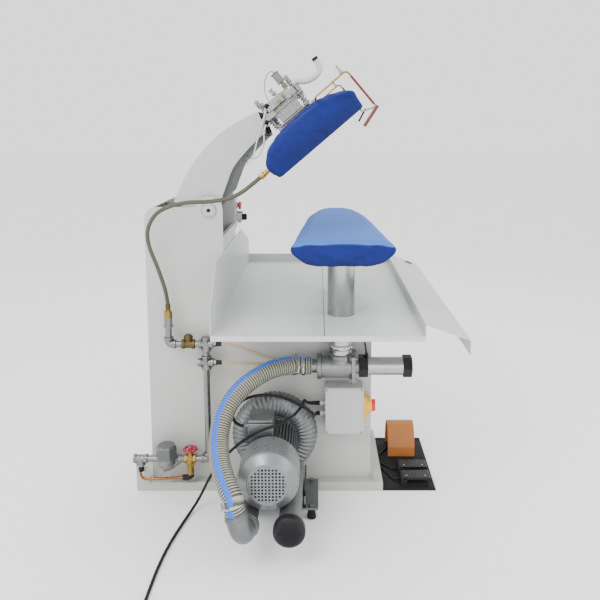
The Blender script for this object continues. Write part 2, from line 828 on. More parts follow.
def side_outline():
    """The L-shaped panel with its rounded shoulder and the round boss about the arm's pivot."""
    foot = BASE_HEIGHT + GAP
    shelf = TABLE_Z - SHEET - GAP
    corner = (CABINET_BACK_X + SHOULDER_RADIUS, COLUMN_TOP - SHOULDER_RADIUS)
    reach = math.degrees(math.asin((COLUMN_TOP - PIVOT_Z) / BOSS_RADIUS))
    front = math.degrees(math.acos((COLUMN_FRONT_X - PIVOT_X) / BOSS_RADIUS))
    outline = [(CABINET_BACK_X, foot), (CABINET_FRONT_X, foot), (CABINET_FRONT_X, shelf)]
    outline += [(COLUMN_FRONT_X, shelf)]
    outline += arc((PIVOT_X, PIVOT_Z), BOSS_RADIUS, front, 180.0 - reach, 12)
    outline += arc(corner, SHOULDER_RADIUS, 90.0, 180.0, 6)
    return outline


def make_cabinet(paint):
    hole = bore(PIVOT_RADIUS, MEDIUM)
    for name, y in (("side_panel_near", PANEL_NEAR_Y), ("side_panel_far", PANEL_FAR_Y - SHEET)):
        panel = prism(side_outline(), y, y + SHEET)
        drill = rod((PIVOT_X, y - OVERRUN, PIVOT_Z), (PIVOT_X, y + SHEET + OVERRUN, PIVOT_Z), hole, MEDIUM)
        added = [make_table_bracket(),
                 make_column_front()] if name == "side_panel_near" else [make_control_plate()]
        node(name, union(cut(panel, drill), *added), paint)
    near = PANEL_NEAR_Y + SHEET + GAP
    far = PANEL_FAR_Y - SHEET - GAP
    foot = BASE_HEIGHT + GAP
    shelf = TABLE_Z - SHEET - GAP
    corner = (CABINET_BACK_X + SHOULDER_RADIUS, COLUMN_TOP - SHOULDER_RADIUS)
    back_line = arc(corner, SHOULDER_RADIUS, 105.0, 180.0, 5) + [(CABINET_BACK_X, foot)]
    cabinet_line = ((CABINET_FRONT_X, foot), (CABINET_FRONT_X, shelf), (CABINET_FRONT_X - HEM, shelf))
    node("back_panel", sheet(back_line, SHEET, near, far), paint)
    node("cabinet_front_panel", sheet(cabinet_line, SHEET, near, far), paint)


def make_column_front():
    """The column's front, folded back at its top and welded to the near panel."""
    front_x = COLUMN_FRONT_X - GAP
    line = ((front_x, TABLE_Z + GAP), (front_x, FRONT_PANEL_TOP), (front_x - HEM, FRONT_PANEL_TOP),
            (front_x - HEM, FRONT_PANEL_TOP - HEM))
    return sheet(line, SHEET, PANEL_NEAR_Y + SHEET / 2, PANEL_FAR_Y - SHEET - GAP)


def make_pivot(steel):
    near = PANEL_NEAR_Y - GAP
    far = PANEL_FAR_Y + GAP
    profile = ((near - CAP_THICK, 0.0), (near - CAP_THICK, CAP_RADIUS - CAP_THICK / 3),
               (near - CAP_THICK / 2, CAP_RADIUS), (near, CAP_RADIUS), (near, PIVOT_RADIUS),
               (far, PIVOT_RADIUS), (far, CAP_RADIUS), (far + CAP_THICK, CAP_RADIUS),
               (far + CAP_THICK, 0.0))
    shaft = lathe(profile, (PIVOT_X, 0.0, PIVOT_Z), (0, 1, 0), MEDIUM)
    front = near - CAP_THICK
    socket = hex_bar((PIVOT_X, front - OVERRUN, PIVOT_Z), (PIVOT_X, front + SOCKET_DEPTH, PIVOT_Z),
                     SOCKET_RADIUS)
    node("pivot_shaft", cut(shaft, socket), steel)


# Arm, lever and press cylinder

def arm_points(shares):
    return [(x_share * ARM_REACH, z_share * ARM_RISE) for x_share, z_share in shares]


def arm_outline():
    """The goose neck's side, in the pivot's frame, with its root round the pivot."""
    outline = arm_points(ARM_INNER_SHARES)
    outline += arc((0.0, 0.0), ARM_ROOT_RADIUS, 20.0, -160.0, 12)
    outline += arm_points(ARM_OUTER_SHARES)
    return outline


def make_arm(pivot, paint, steel):
    hole = BUSH_RADIUS - SHEET
    plates = []
    for y in (ARM_NEAR_Y, ARM_FAR_Y - SHEET):
        drill = rod((0.0, y - OVERRUN, 0.0), (0.0, y + SHEET + OVERRUN, 0.0), hole, MEDIUM)
        plates.append(cut(prism(arm_outline(), y, y + SHEET), drill))
    near = ARM_NEAR_Y + SHEET / 2
    far = ARM_FAR_Y - SHEET / 2
    outer = list(reversed(arm_points(ARM_OUTER_SHARES)))
    inner = list(reversed(arm_points(ARM_INNER_SHARES)))
    covers = [sheet(line, SHEET, near, far) for line in (outer, inner)]
    bushes = []
    inside = bore(PIVOT_RADIUS, MEDIUM)
    flange = SHEET
    for y, way in ((ARM_NEAR_Y, 1.0), (ARM_FAR_Y, -1.0)):
        profile = ((0.0, inside), (0.0, BUSH_RADIUS), (flange, BUSH_RADIUS), (flange, BUSH_RADIUS + flange),
                   (BUSH_LENGTH, BUSH_RADIUS + flange), (BUSH_LENGTH, inside))
        bushes.append(lathe(profile, (0.0, y, 0.0), (0.0, way, 0.0), MEDIUM))
    node("press_arm", union(plates[0], plates[1], *covers, *bushes), paint, pivot)
    make_lever(pivot, steel)


def make_lever(pivot, steel):
    """The cross bar behind the pivot with two ears and the clevis pin that the cylinder pushes."""
    near = ARM_NEAR_Y + SHEET + GAP
    far = ARM_FAR_Y - SHEET - GAP
    bar = box((LEVER_BAR_X - LEVER_BAR_HALF, near, -LEVER_BAR_HALF),
              (LEVER_BAR_X + LEVER_BAR_HALF, far, LEVER_BAR_HALF))
    inner_y = ROD_EYE_THICK / 2 + RUN_GAP
    pieces = []
    for y in (-inner_y - EAR_THICK, inner_y):
        outline = arc((LEVER_X, LEVER_Z), LEVER_EAR_RADIUS, 110.0, 250.0, 6)
        outline += [(LEVER_BAR_X, -LEVER_BAR_HALF), (LEVER_BAR_X, LEVER_BAR_HALF)]
        pieces.append(prism(outline, y, y + EAR_THICK))
    reach = inner_y + EAR_THICK / 2
    pieces.append(rod((LEVER_X, -reach, LEVER_Z), (LEVER_X, reach, LEVER_Z), LEVER_PIN_RADIUS, MEDIUM))
    node("arm_lever", union(bar, *pieces), steel, pivot)


def cylinder_rise():
    """How far the cylinder leans from upright at rest, and the distance between its two pins."""
    top = Vector((PIVOT_X + LEVER_X, PIVOT_Z + LEVER_Z))
    foot = Vector((CYLINDER_PIN_X, CYLINDER_PIN_Z))
    line = top - foot
    return math.degrees(math.atan2(-line.x, line.y)), line.length


def make_cylinder(steel, black):
    lean, reach = cylinder_rise()
    base = frame_empty("cylinder_pin", (CYLINDER_PIN_X, 0.0, CYLINDER_PIN_Z), lean)
    inner = CYLINDER_RADIUS - CYLINDER_WALL
    top = CYLINDER_FOOT + CYLINDER_LENGTH
    throat = ROD_RADIUS + RUN_GAP
    profile = ((CYLINDER_FOOT, 0.0), (CYLINDER_FOOT, CYLINDER_RADIUS), (top, CYLINDER_RADIUS),
               (top, throat),
               (top - CYLINDER_CAP, throat), (top - CYLINDER_CAP, inner),
               (CYLINDER_FOOT + CYLINDER_CAP, inner), (CYLINDER_FOOT + CYLINDER_CAP, 0.0))
    barrel = lathe(profile, (0.0, 0.0, 0.0), (0, 0, 1), MEDIUM)
    half = ROD_EYE_THICK / 2
    eye = prism(arc((0.0, 0.0), CYLINDER_EYE_RADIUS, 180.0, 360.0, 8)
                + [(CYLINDER_EYE_RADIUS, CYLINDER_FOOT + CYLINDER_CAP / 2),
                   (-CYLINDER_EYE_RADIUS, CYLINDER_FOOT + CYLINDER_CAP / 2)], -half, half)
    hole = rod((0.0, -ROD_EYE_THICK, 0.0), (0.0, ROD_EYE_THICK, 0.0), bore(CYLINDER_PIN_RADIUS, MEDIUM),
               MEDIUM)
    node("press_cylinder", cut(union(barrel, eye), hole), steel, base)
    piston_foot = CYLINDER_FOOT + CYLINDER_CAP + PISTON_THICK
    stem = lathe(((piston_foot, 0.0), (piston_foot, inner - RUN_GAP),
                  (piston_foot + PISTON_THICK, inner - RUN_GAP), (piston_foot + PISTON_THICK, ROD_RADIUS),
                  (reach - ROD_EYE_BORE - RUN_GAP, ROD_RADIUS), (reach - ROD_EYE_BORE - RUN_GAP, 0.0)),
                 (0.0, 0.0, 0.0), (0, 0, 1), MEDIUM)
    outline = [(ROD_EYE_RADIUS * math.cos(2 * math.pi * i / FINE), reach
                + ROD_EYE_RADIUS * math.sin(2 * math.pi * i / FINE))
               for i in range(FINE)]
    rod_eye = prism(outline, -half, half)
    bore_cut = rod((0.0, -ROD_EYE_THICK, reach), (0.0, ROD_EYE_THICK, reach), ROD_EYE_BORE, MEDIUM)
    node("press_rod", cut(union(stem, rod_eye), bore_cut), black, base)
    make_cylinder_mount(steel, half)


def make_cylinder_mount(steel, half):
    """The cross bar between the side panels, with the two ears and the pin that carry the cylinder."""
    near = PANEL_NEAR_Y + SHEET + GAP
    far = PANEL_FAR_Y - SHEET - GAP
    top = CYLINDER_PIN_Z - CYLINDER_EYE_RADIUS - RUN_GAP * 2
    bar = box((CYLINDER_PIN_X - MOUNT_BAR_DEPTH / 2, near, top - MOUNT_BAR_HEIGHT),
              (CYLINDER_PIN_X + MOUNT_BAR_DEPTH / 2, far, top))
    pieces = []
    inner_y = half + RUN_GAP
    for y in (-inner_y - EAR_THICK, inner_y):
        outline = arc((CYLINDER_PIN_X, CYLINDER_PIN_Z), CYLINDER_EYE_RADIUS * 0.8, 0.0, 180.0, 8)
        outline += [(CYLINDER_PIN_X - CYLINDER_EYE_RADIUS, top - RUN_GAP),
                    (CYLINDER_PIN_X + CYLINDER_EYE_RADIUS, top - RUN_GAP)]
        pieces.append(prism(outline, y, y + EAR_THICK))
    reach = inner_y + EAR_THICK / 2
    pieces.append(rod((CYLINDER_PIN_X, -reach, CYLINDER_PIN_Z), (CYLINDER_PIN_X, reach, CYLINDER_PIN_Z),
                      CYLINDER_PIN_RADIUS, MEDIUM))
    node("cylinder_mount", union(bar, *pieces), steel)


# Table, brackets and buck

def make_table(paint):
    back_x = COLUMN_FRONT_X + GAP
    left = box((back_x, TABLE_NEAR_Y, TABLE_Z - SHEET), (TABLE_SEAM_X - GAP / 2, TABLE_FAR_Y, TABLE_Z))
    wall = prism(((TABLE_NEAR_Y, TABLE_Z - SHEET / 2), (TABLE_FAR_Y, TABLE_Z - SHEET / 2),
                  (TABLE_FAR_Y, BACKSPLASH_FAR_Z), (BACKSPLASH_FAR_TOP_Y, BACKSPLASH_TOP),
                  (BACKSPLASH_NEAR_TOP_Y, BACKSPLASH_TOP), (TABLE_NEAR_Y, BACKSPLASH_NEAR_Z)),
                 back_x, back_x + SHEET, "X")
    lips = []
    for low_y, high_y, low_z, high_z in ((TABLE_FAR_Y - SHEET, TABLE_FAR_Y, TABLE_Z - SHEET / 2, TABLE_Z
                                          + UPSTAND),
                                         (TABLE_NEAR_Y, TABLE_NEAR_Y + SHEET, TABLE_Z - NEAR_LIP,
                                          TABLE_Z - SHEET / 2)):
        lips.append(box((back_x + SHEET / 2, low_y, low_z), (TABLE_SEAM_X - GAP / 2, high_y, high_z)))
    node("table_left_panel", union(left, wall, *lips), paint)
    seam = TABLE_SEAM_X + GAP / 2
    fold = ((seam, TABLE_Z - SHEET), (TABLE_RIGHT_X, TABLE_Z - SHEET),
            (TABLE_RIGHT_X, TABLE_Z + UPSTAND - SHEET),
            (APRON_X, APRON_Z - SHEET), (APRON_X, APRON_Z - FLANGE))
    right = sheet(fold, SHEET, TABLE_NEAR_Y, TABLE_FAR_Y)
    far_lip = box((seam, TABLE_FAR_Y - SHEET, TABLE_Z - SHEET / 2),
                  (TABLE_RIGHT_X - SHEET / 2, TABLE_FAR_Y, TABLE_Z + UPSTAND - SHEET))
    near_lip = box((seam, TABLE_NEAR_Y, TABLE_Z - NEAR_LIP),
                   (TABLE_RIGHT_X - SHEET, TABLE_NEAR_Y + SHEET, TABLE_Z - SHEET / 2))
    duct_hole = rod((BUCK_X, DUCT_Y, TABLE_Z - NEAR_LIP), (BUCK_X, DUCT_Y, TABLE_Z + NEAR_LIP),
                    bore(SLEEVE_RADIUS, MEDIUM), MEDIUM)
    post = POST_HALF + GAP
    post_hole = box((BUCK_X - post, POST_Y - post, TABLE_Z - NEAR_LIP),
                    (BUCK_X + post, POST_Y + post, TABLE_Z + NEAR_LIP))
    panel = cut(union(right, far_lip, near_lip), duct_hole, post_hole)
    node("table_right_panel", union(panel, make_bezel()), paint)


def switch_place():
    """Where the switch stands on the apron, and the apron's rise in degrees."""
    slope = Vector((APRON_X - TABLE_RIGHT_X, 0.0, APRON_Z - TABLE_Z - UPSTAND))
    spot = Vector((TABLE_RIGHT_X, ROCKER_Y, TABLE_Z + UPSTAND)) + slope * ROCKER_SHARE
    return spot, math.degrees(math.atan2(slope.z, slope.x))


def make_bezel():
    """The open frame round the rocker, as a solid of its own on the apron."""
    bezel = box((-BEZEL_HALF_LENGTH, -BEZEL_HALF_WIDTH, -SHEET / 2),
                (BEZEL_HALF_LENGTH, BEZEL_HALF_WIDTH, BEZEL_HEIGHT))
    long = ROCKER_HALF_LENGTH + ROCKER_CLEAR
    wide = ROCKER_HALF_WIDTH + ROCKER_CLEAR
    made = cut(bezel, box((-long, -wide, BEZEL_HEIGHT / 2), (long, wide, BEZEL_HEIGHT + OVERRUN)))
    spot, rise = switch_place()
    made.transform(Matrix.Translation(spot) @ Matrix.Rotation(-math.radians(rise), 4, "Y"))
    return made


def make_table_bracket():
    """The angle that ties the table to the near side panel."""
    near = PANEL_NEAR_Y + SHEET / 2
    top = TABLE_Z - SHEET - GAP
    return sheet(((near, top - BRACKET_DEPTH), (near, top), (near - BRACKET_DEPTH, top)), SHEET,
                 BRACKET_X - BRACKET_WIDTH, BRACKET_X, "X")


def make_pipe_bracket():
    """The slotted angle on the base plate beside the supply's tee."""
    foot = BASE_HEIGHT - SHEET / 2
    left = PIPE_BRACKET_X - PIPE_BRACKET_WIDTH / 2
    right = PIPE_BRACKET_X + PIPE_BRACKET_WIDTH / 2
    front = STEAM_Y + STEAM_PIPE_RADIUS
    shelf_far = BASE_NEAR_Y + BOLT_INSET - WASHER_RADIUS - RUN_GAP
    plate = box((left, front, foot), (right, front + SHEET, foot + PIPE_BRACKET_HEIGHT))
    shelf = box((left, front + SHEET / 2, foot), (right, shelf_far, foot + SHEET))
    middle = foot + PIPE_BRACKET_HEIGHT / 2
    slot_low = middle - SLOT_LENGTH / 2
    slot_high = middle + SLOT_LENGTH / 2
    radius = SLOT_WIDTH / 2
    outline = arc((PIPE_BRACKET_X, slot_high), radius, 0.0, 180.0, 6) + arc((PIPE_BRACKET_X, slot_low),
                                                                            radius, 180.0, 360.0, 6)
    return cut(union(plate, shelf), prism(outline, STEAM_Y, front + SHEET * 2))


def section_loft(rows):
    """A closed body through rows of equal point counts, with a point-like cap at each end."""
    def build(bm):
        made = [[bm.verts.new(point) for point in row] for row in rows]
        for lower, upper in zip(made, made[1:]):
            for index in range(len(lower)):
                after = (index + 1) % len(lower)
                bm.faces.new((lower[index], lower[after], upper[after], upper[index]))
        bm.faces.new(made[0])
        bm.faces.new(list(reversed(made[-1])))
    return mesh_from(build)


def plan_width(share):
    """The pad's half width along its length, as a share of the widest, from near end 0 to far end 1."""
    taper = 1.0 - 0.34 * share ** 1.25
    near = math.sqrt(max(1.0 - (1.0 - min(share / 0.055, 1.0)) ** 2, 0.0)) * 0.16 + 0.84
    far = math.sqrt(max(1.0 - (max(share - 0.72, 0.0) / 0.28) ** 2, 0.0))
    return taper * near * max(far, 0.30)



def buck_section(width, thin):
    """A crowned top, tight edges and a drawn-in belly, as points round the pad."""
    height = BUCK_CROWN_Z - BUCK_BELLY_Z
    middle = BUCK_BELLY_Z + height * 0.5
    half = list(BUCK_SECTION_SHARES)
    outline = half + [(0.0, 0.0)] + [(-x, z) for x, z in reversed(half[1:])]
    return [(width * x, middle + (z - 0.5) * height * thin) for x, z in outline]


def make_buck(blue, steel):
    rows = []
    for share in PAD_ROW_SHARES:
        y = BUCK_NEAR_Y + (BUCK_FAR_Y - BUCK_NEAR_Y) * share
        width = BUCK_HALF_WIDTH * plan_width(share)
        thin = 1.0 - 0.16 * max(1.0 - share / 0.05, 0.0) ** 2 - 0.45 * max((share - 0.88) / 0.12, 0.0) ** 2
        rows.append([(BUCK_X + x, y, z) for x, z in buck_section(width, thin)])
    node("buck_pad", section_loft(rows), blue)
    top = BUCK_BELLY_Z - GAP
    plate = box((BUCK_X - POST_PLATE_HALF_X, POST_PLATE_NEAR_Y, top - PLATE),
                (BUCK_X + POST_PLATE_HALF_X, POST_PLATE_FAR_Y, top))
    post = box((BUCK_X - POST_HALF, POST_Y - POST_HALF, BASE_HEIGHT + GAP),
               (BUCK_X + POST_HALF, POST_Y + POST_HALF, top - PLATE / 2))
    node("buck_post", union(plate, post), steel)


# Vacuum duct, tee, valve and hose

def make_duct(chrome):
    pad_foot = BUCK_BELLY_Z - GAP
    foot = TEE_BRANCH_TOP + GAP
    profile = ((foot, PIPE_RADIUS - DUCT_WALL), (foot, PIPE_RADIUS),
               (PIPE_RING_Z - PIPE_RING_HALF, PIPE_RADIUS),
               (PIPE_RING_Z - PIPE_RING_HALF, PIPE_RING_RADIUS),
               (PIPE_RING_Z + PIPE_RING_HALF, PIPE_RING_RADIUS),
               (PIPE_RING_Z + PIPE_RING_HALF, PIPE_RADIUS),
               (REDUCER_Z, PIPE_RADIUS), (SLEEVE_FOOT_Z, SLEEVE_RADIUS), (pad_foot, SLEEVE_RADIUS),
               (pad_foot, SLEEVE_RADIUS - DUCT_WALL), (SLEEVE_FOOT_Z, SLEEVE_RADIUS - DUCT_WALL),
               (REDUCER_Z, PIPE_RADIUS - DUCT_WALL))
    node("vacuum_duct", lathe(profile, (BUCK_X, DUCT_Y, 0.0), (0, 0, 1), MEDIUM), chrome)


def tie_bolt_places():
    for angle_deg in (45.0, 135.0, 225.0, 315.0):
        angle = math.radians(angle_deg)
        yield DUCT_Y + TIE_BOLT_CIRCLE * math.cos(angle), TEE_Z + TIE_BOLT_CIRCLE * math.sin(angle)


def tie_flange():
    """The square flange at the tee's end, with its four screws through the corners."""
    half = TIE_BOLT_CIRCLE * math.sqrt(0.5) + TIE_EAR_RADIUS * 0.8
    left = TEE_RIGHT_X - TEE_RIM_WIDTH
    plate = box((left, DUCT_Y - half, TEE_Z - half), (TEE_RIGHT_X - RUN_GAP, DUCT_Y + half, TEE_Z + half))
    screws = []
    for y, z in tie_bolt_places():
        screws.append(rod((left - BOLT_HEAD_HEIGHT, y, z), (left + SHEET, y, z),
                          TIE_BOLT_RADIUS * 1.7, HEX))
        screws.append(rod((TEE_RIGHT_X - SHEET, y, z), (TEE_RIGHT_X + TIE_BOLT_END, y, z),
                          TIE_BOLT_RADIUS, HEX))
    return [plate, *screws]


def make_tee(steel):
    nut_right = TEE_RIGHT_X + GLAND_NUT_WIDTH
    outer = lathe(((NIPPLE_LEFT_X, 0.0), (NIPPLE_LEFT_X, NIPPLE_RADIUS), (TEE_LEFT_X, NIPPLE_RADIUS),
                   (TEE_LEFT_X, TEE_RIM_RADIUS), (TEE_LEFT_X + TEE_RIM_WIDTH, TEE_RIM_RADIUS),
                   (TEE_LEFT_X + TEE_RIM_WIDTH, TEE_RADIUS), (TEE_RIGHT_X, TEE_RADIUS),
                   (TEE_RIGHT_X, GLAND_NUT_RADIUS), (nut_right, GLAND_NUT_RADIUS), (nut_right, 0.0)),
                  (0.0, DUCT_Y, TEE_Z), (1, 0, 0), MEDIUM)
    branch = rod((BUCK_X, DUCT_Y, TEE_Z), (BUCK_X, DUCT_Y, TEE_BRANCH_TOP), TEE_RADIUS - RUN_GAP, MEDIUM)
    hollow = lathe(((NIPPLE_LEFT_X - OVERRUN, 0.0), (NIPPLE_LEFT_X - OVERRUN, NIPPLE_BORE),
                    (TEE_LEFT_X + PLATE, NIPPLE_BORE), (TEE_LEFT_X + PLATE, TEE_BORE),
                    (TEE_RIGHT_X - PLATE, TEE_BORE), (TEE_RIGHT_X - PLATE, VALVE_ROD_RADIUS + RUN_GAP),
                    (nut_right + OVERRUN, VALVE_ROD_RADIUS + RUN_GAP), (nut_right + OVERRUN, 0.0)),
                   (0.0, DUCT_Y, TEE_Z), (1, 0, 0), MEDIUM)
    shaft = rod((BUCK_X, DUCT_Y, TEE_Z), (BUCK_X, DUCT_Y, TEE_BRANCH_TOP + OVERRUN), TEE_BORE - GAP, MEDIUM)
    node("valve_body", cut(union(outer, branch, *tie_flange()), hollow, shaft), steel)


def make_valve(steel, black, chrome):
    start = TEE_RIGHT_X + GLAND_NUT_WIDTH + GAP
    tube_left = start + VALVE_CAP_WIDTH
    tube_right = tube_left + VALVE_TUBE_LENGTH
    end = tube_right + VALVE_CAP_WIDTH
    throat = VALVE_ROD_RADIUS + RUN_GAP
    seat = VALVE_TUBE_RADIUS + GAP

    depth = VALVE_CAP_WIDTH / 3
    inside = VALVE_TUBE_RADIUS - VALVE_TUBE_WALL
    outline = [(DUCT_Y + VALVE_CAP_RADIUS * math.sin(math.radians(60 * i + 30)),
                TEE_Z + VALVE_CAP_RADIUS * math.cos(math.radians(60 * i + 30))) for i in range(HEX)]
    groove = ring((tube_left - depth, DUCT_Y, TEE_Z), (tube_left + OVERRUN, DUCT_Y, TEE_Z), seat,
                  inside - GAP, FINE)
    passage = rod((start - OVERRUN, DUCT_Y, TEE_Z), (tube_left + OVERRUN, DUCT_Y, TEE_Z), throat, COARSE)
    node("valve_cap", cut(prism(outline, start, tube_left, "X"), groove, passage), black)
    tube = ring((tube_left - depth + GAP, DUCT_Y, TEE_Z), (tube_right + OVERRUN, DUCT_Y, TEE_Z),
                VALVE_TUBE_RADIUS, inside, FINE)
    node("valve_cylinder", union(tube, prism(outline, tube_right, end, "X")), chrome)
    disc_right = TEE_RIGHT_X - PLATE - VALVE_DISC_INSET
    inner = VALVE_TUBE_RADIUS - VALVE_TUBE_WALL - RUN_GAP
    piston_right = tube_right - VALVE_PISTON_THICK
    profile = ((disc_right - VALVE_DISC_THICK, 0.0),
               (disc_right - VALVE_DISC_THICK, TEE_BORE - RUN_GAP * 3),
               (disc_right, TEE_BORE - RUN_GAP * 3), (disc_right, VALVE_ROD_RADIUS),
               (piston_right - VALVE_PISTON_THICK, VALVE_ROD_RADIUS),
               (piston_right - VALVE_PISTON_THICK, inner),
               (piston_right, inner), (piston_right, 0.0))
    node("valve_piston", lathe(profile, (0.0, DUCT_Y, TEE_Z), (1, 0, 0), MEDIUM), steel)


def hose_points():
    """The hose's middle line, from over the tee's nipple to over the blower's elbow."""
    start = lead(Vector((NIPPLE_LEFT_X + HOSE_RADIUS, DUCT_Y, TEE_Z)), Vector((-1.0, 0.0, 0.0)),
                 HOSE_RADIUS * 2)
    end, way = elbow_end()
    last = lead(end + way * RUN_GAP, way, HOSE_RADIUS)
    return [*start, *HOSE_ROUTE, *reversed(last)]


def make_hose(clear, chrome):
    count = HOSE_RIBS * 2
    points = smooth(hose_points(), count)
    trough = (HOSE_RADIUS - HOSE_RIB) / HOSE_RADIUS
    radii = [HOSE_RADIUS if index % 2 else HOSE_RADIUS * trough for index in range(count)]
    node("vacuum_hose", shell_tube(points, radii, HOSE_RADIUS - HOSE_WALL, 4, HOSE_SIDES), clear)
    for name, index in (("hose_clamp_valve", CLAMP_VALVE_POINT),
                        ("hose_clamp_blower", count - CLAMP_BLOWER_POINT)):
        middle = points[index]
        way = (points[index + 1] - points[index - 1]).normalized()
        inner_radius = HOSE_RADIUS / math.cos(math.pi / MEDIUM) + RUN_GAP
        outer = inner_radius + CLAMP_THICK
        band = ring(middle - way * CLAMP_WIDTH / 2, middle + way * CLAMP_WIDTH / 2, outer, inner_radius,
                    MEDIUM)
        side = way.cross(Vector((0.0, 0.0, 1.0))).normalized()
        across = side.cross(way).normalized()
        hub = middle + side * (outer + CLAMP_SCREW_RADIUS * 0.5)
        screw = rod(hub - across * CLAMP_SCREW_LENGTH / 2, hub + across * CLAMP_SCREW_LENGTH / 2,
                    CLAMP_SCREW_RADIUS, SMALL)
        node(name, union(band, screw), chrome)


# Blower

def elbow_route():
    """The middle line of the blower's elbow: a straight lead, a bend and a straight end."""
    way = Vector(ELBOW_WAY_SHARES).normalized()
    out = Vector((0.0, -1.0, 0.0))
    across = (way - out * way.dot(out)).normalized()
    turn = out.angle(way)
    start = Vector((SHAFT_X - PORT_SPREAD, PORT_FRONT_Y - PORT_FLANGE_WIDTH - GAP, PORT_Z))
    corner = start + out * ELBOW_LEAD
    route = [start]
    for step in range(ELBOW_STEPS + 1):
        angle = turn * step / ELBOW_STEPS
        route.append(corner + out * ELBOW_TURN * math.sin(angle)
                     + across * ELBOW_TURN * (1.0 - math.cos(angle)))
    return [*route, route[-1] + way * ELBOW_STRAIGHT]


def elbow_end():
    """Where the blower's elbow ends, and the way that it points there."""
    route = elbow_route()
    return route[-1], (route[-1] - route[-2]).normalized()


def make_blower(cast, silver, black):
    make_housing(cast)
    make_motor(cast, silver)
    right = SHAFT_X + PORT_SPREAD
    front = PORT_FRONT_Y - PORT_FLANGE_WIDTH - GAP
    profile = ((0.0, 0.0), (0.0, FILTER_RADIUS * 0.86), (FILTER_LENGTH * 0.2, FILTER_RADIUS),
               (FILTER_LENGTH * 0.8, FILTER_RADIUS), (FILTER_LENGTH, FILTER_RADIUS * 0.86),
               (FILTER_LENGTH, 0.0))
    node("blower_filter", lathe(profile, (right, front, PORT_Z), (0, -1, 0), MEDIUM), black)
    end, way = elbow_end()
    body = tube_mesh(elbow_route(), ELBOW_RADIUS, 3)
    nipple = rod(end - way * ELBOW_RADIUS * 0.5, end + way * HOSE_RADIUS * 0.55, NIPPLE_RADIUS - RUN_GAP,
                 MEDIUM)
    node("blower_elbow", union(body, nipple), cast)


def make_housing(cast):
    """The finned ring, the hub plate, the two port tubes and the foot plate, cast in one."""
    count = RING_FINS * 2
    points = []
    for index in range(count + 1):
        angle = math.radians(-90.0 + RING_OPEN_DEG / 2 + (360.0 - RING_OPEN_DEG) * index / count)
        points.append(Vector((SHAFT_X + RING_RADIUS * math.cos(angle), RING_Y, SHAFT_Z
                              + RING_RADIUS * math.sin(angle))))
    trough = (RING_TUBE_RADIUS - RING_FIN) / RING_TUBE_RADIUS
    shares = [trough if index % 2 else 1.0 for index in range(count + 1)]
    finned = tube_mesh(points, RING_TUBE_RADIUS, 2, shares)
    hub = rod((SHAFT_X, RING_Y - RING_TUBE_RADIUS * 0.9, SHAFT_Z),
              (SHAFT_X, RING_Y + RING_TUBE_RADIUS * 0.8, SHAFT_Z), HUB_RADIUS, FINE)
    parts = [hub]
    for way in (-1.0, 1.0):
        x = SHAFT_X + way * PORT_SPREAD
        parts.append(lathe(((SHEET, 0.0), (SHEET, PORT_RADIUS), (RING_Y - PORT_FRONT_Y, PORT_RADIUS),
                            (RING_Y - PORT_FRONT_Y, PORT_FLANGE_RADIUS),
                            (RING_Y - PORT_FRONT_Y + PORT_FLANGE_WIDTH, PORT_FLANGE_RADIUS),
                            (RING_Y - PORT_FRONT_Y + PORT_FLANGE_WIDTH, 0.0)), (x, RING_Y, PORT_Z),
                            (0, -1, 0), MEDIUM))
    parts.append(box((SHAFT_X - PORT_SPREAD - PORT_RADIUS, RING_Y - RING_TUBE_RADIUS * 0.71, FOOT_Z
                      + FOOT_PLATE / 2),
                     (SHAFT_X + PORT_SPREAD + PORT_RADIUS, RING_Y + RING_TUBE_RADIUS * 0.71,
                      SHAFT_Z - HUB_RADIUS / 2)))
    parts.append(box((SHAFT_X - FOOT_HALF_WIDTH, FOOT_NEAR_Y, FOOT_Z),
                     (SHAFT_X + FOOT_HALF_WIDTH, FOOT_FAR_Y, FOOT_Z + FOOT_PLATE)))
    for way in (-1.0, 1.0):
        x = SHAFT_X + way * (FOOT_HALF_WIDTH - RAIL_WIDTH)
        parts.append(box((x - PLATE / 2, FOOT_NEAR_Y + PLATE, FOOT_Z + FOOT_PLATE / 2),
                         (x + PLATE / 2, FOOT_FAR_Y - PLATE, FOOT_Z + FOOT_WEB_HEIGHT)))
    node("blower_housing", union(finned, *parts, *blower_feet()), cast)


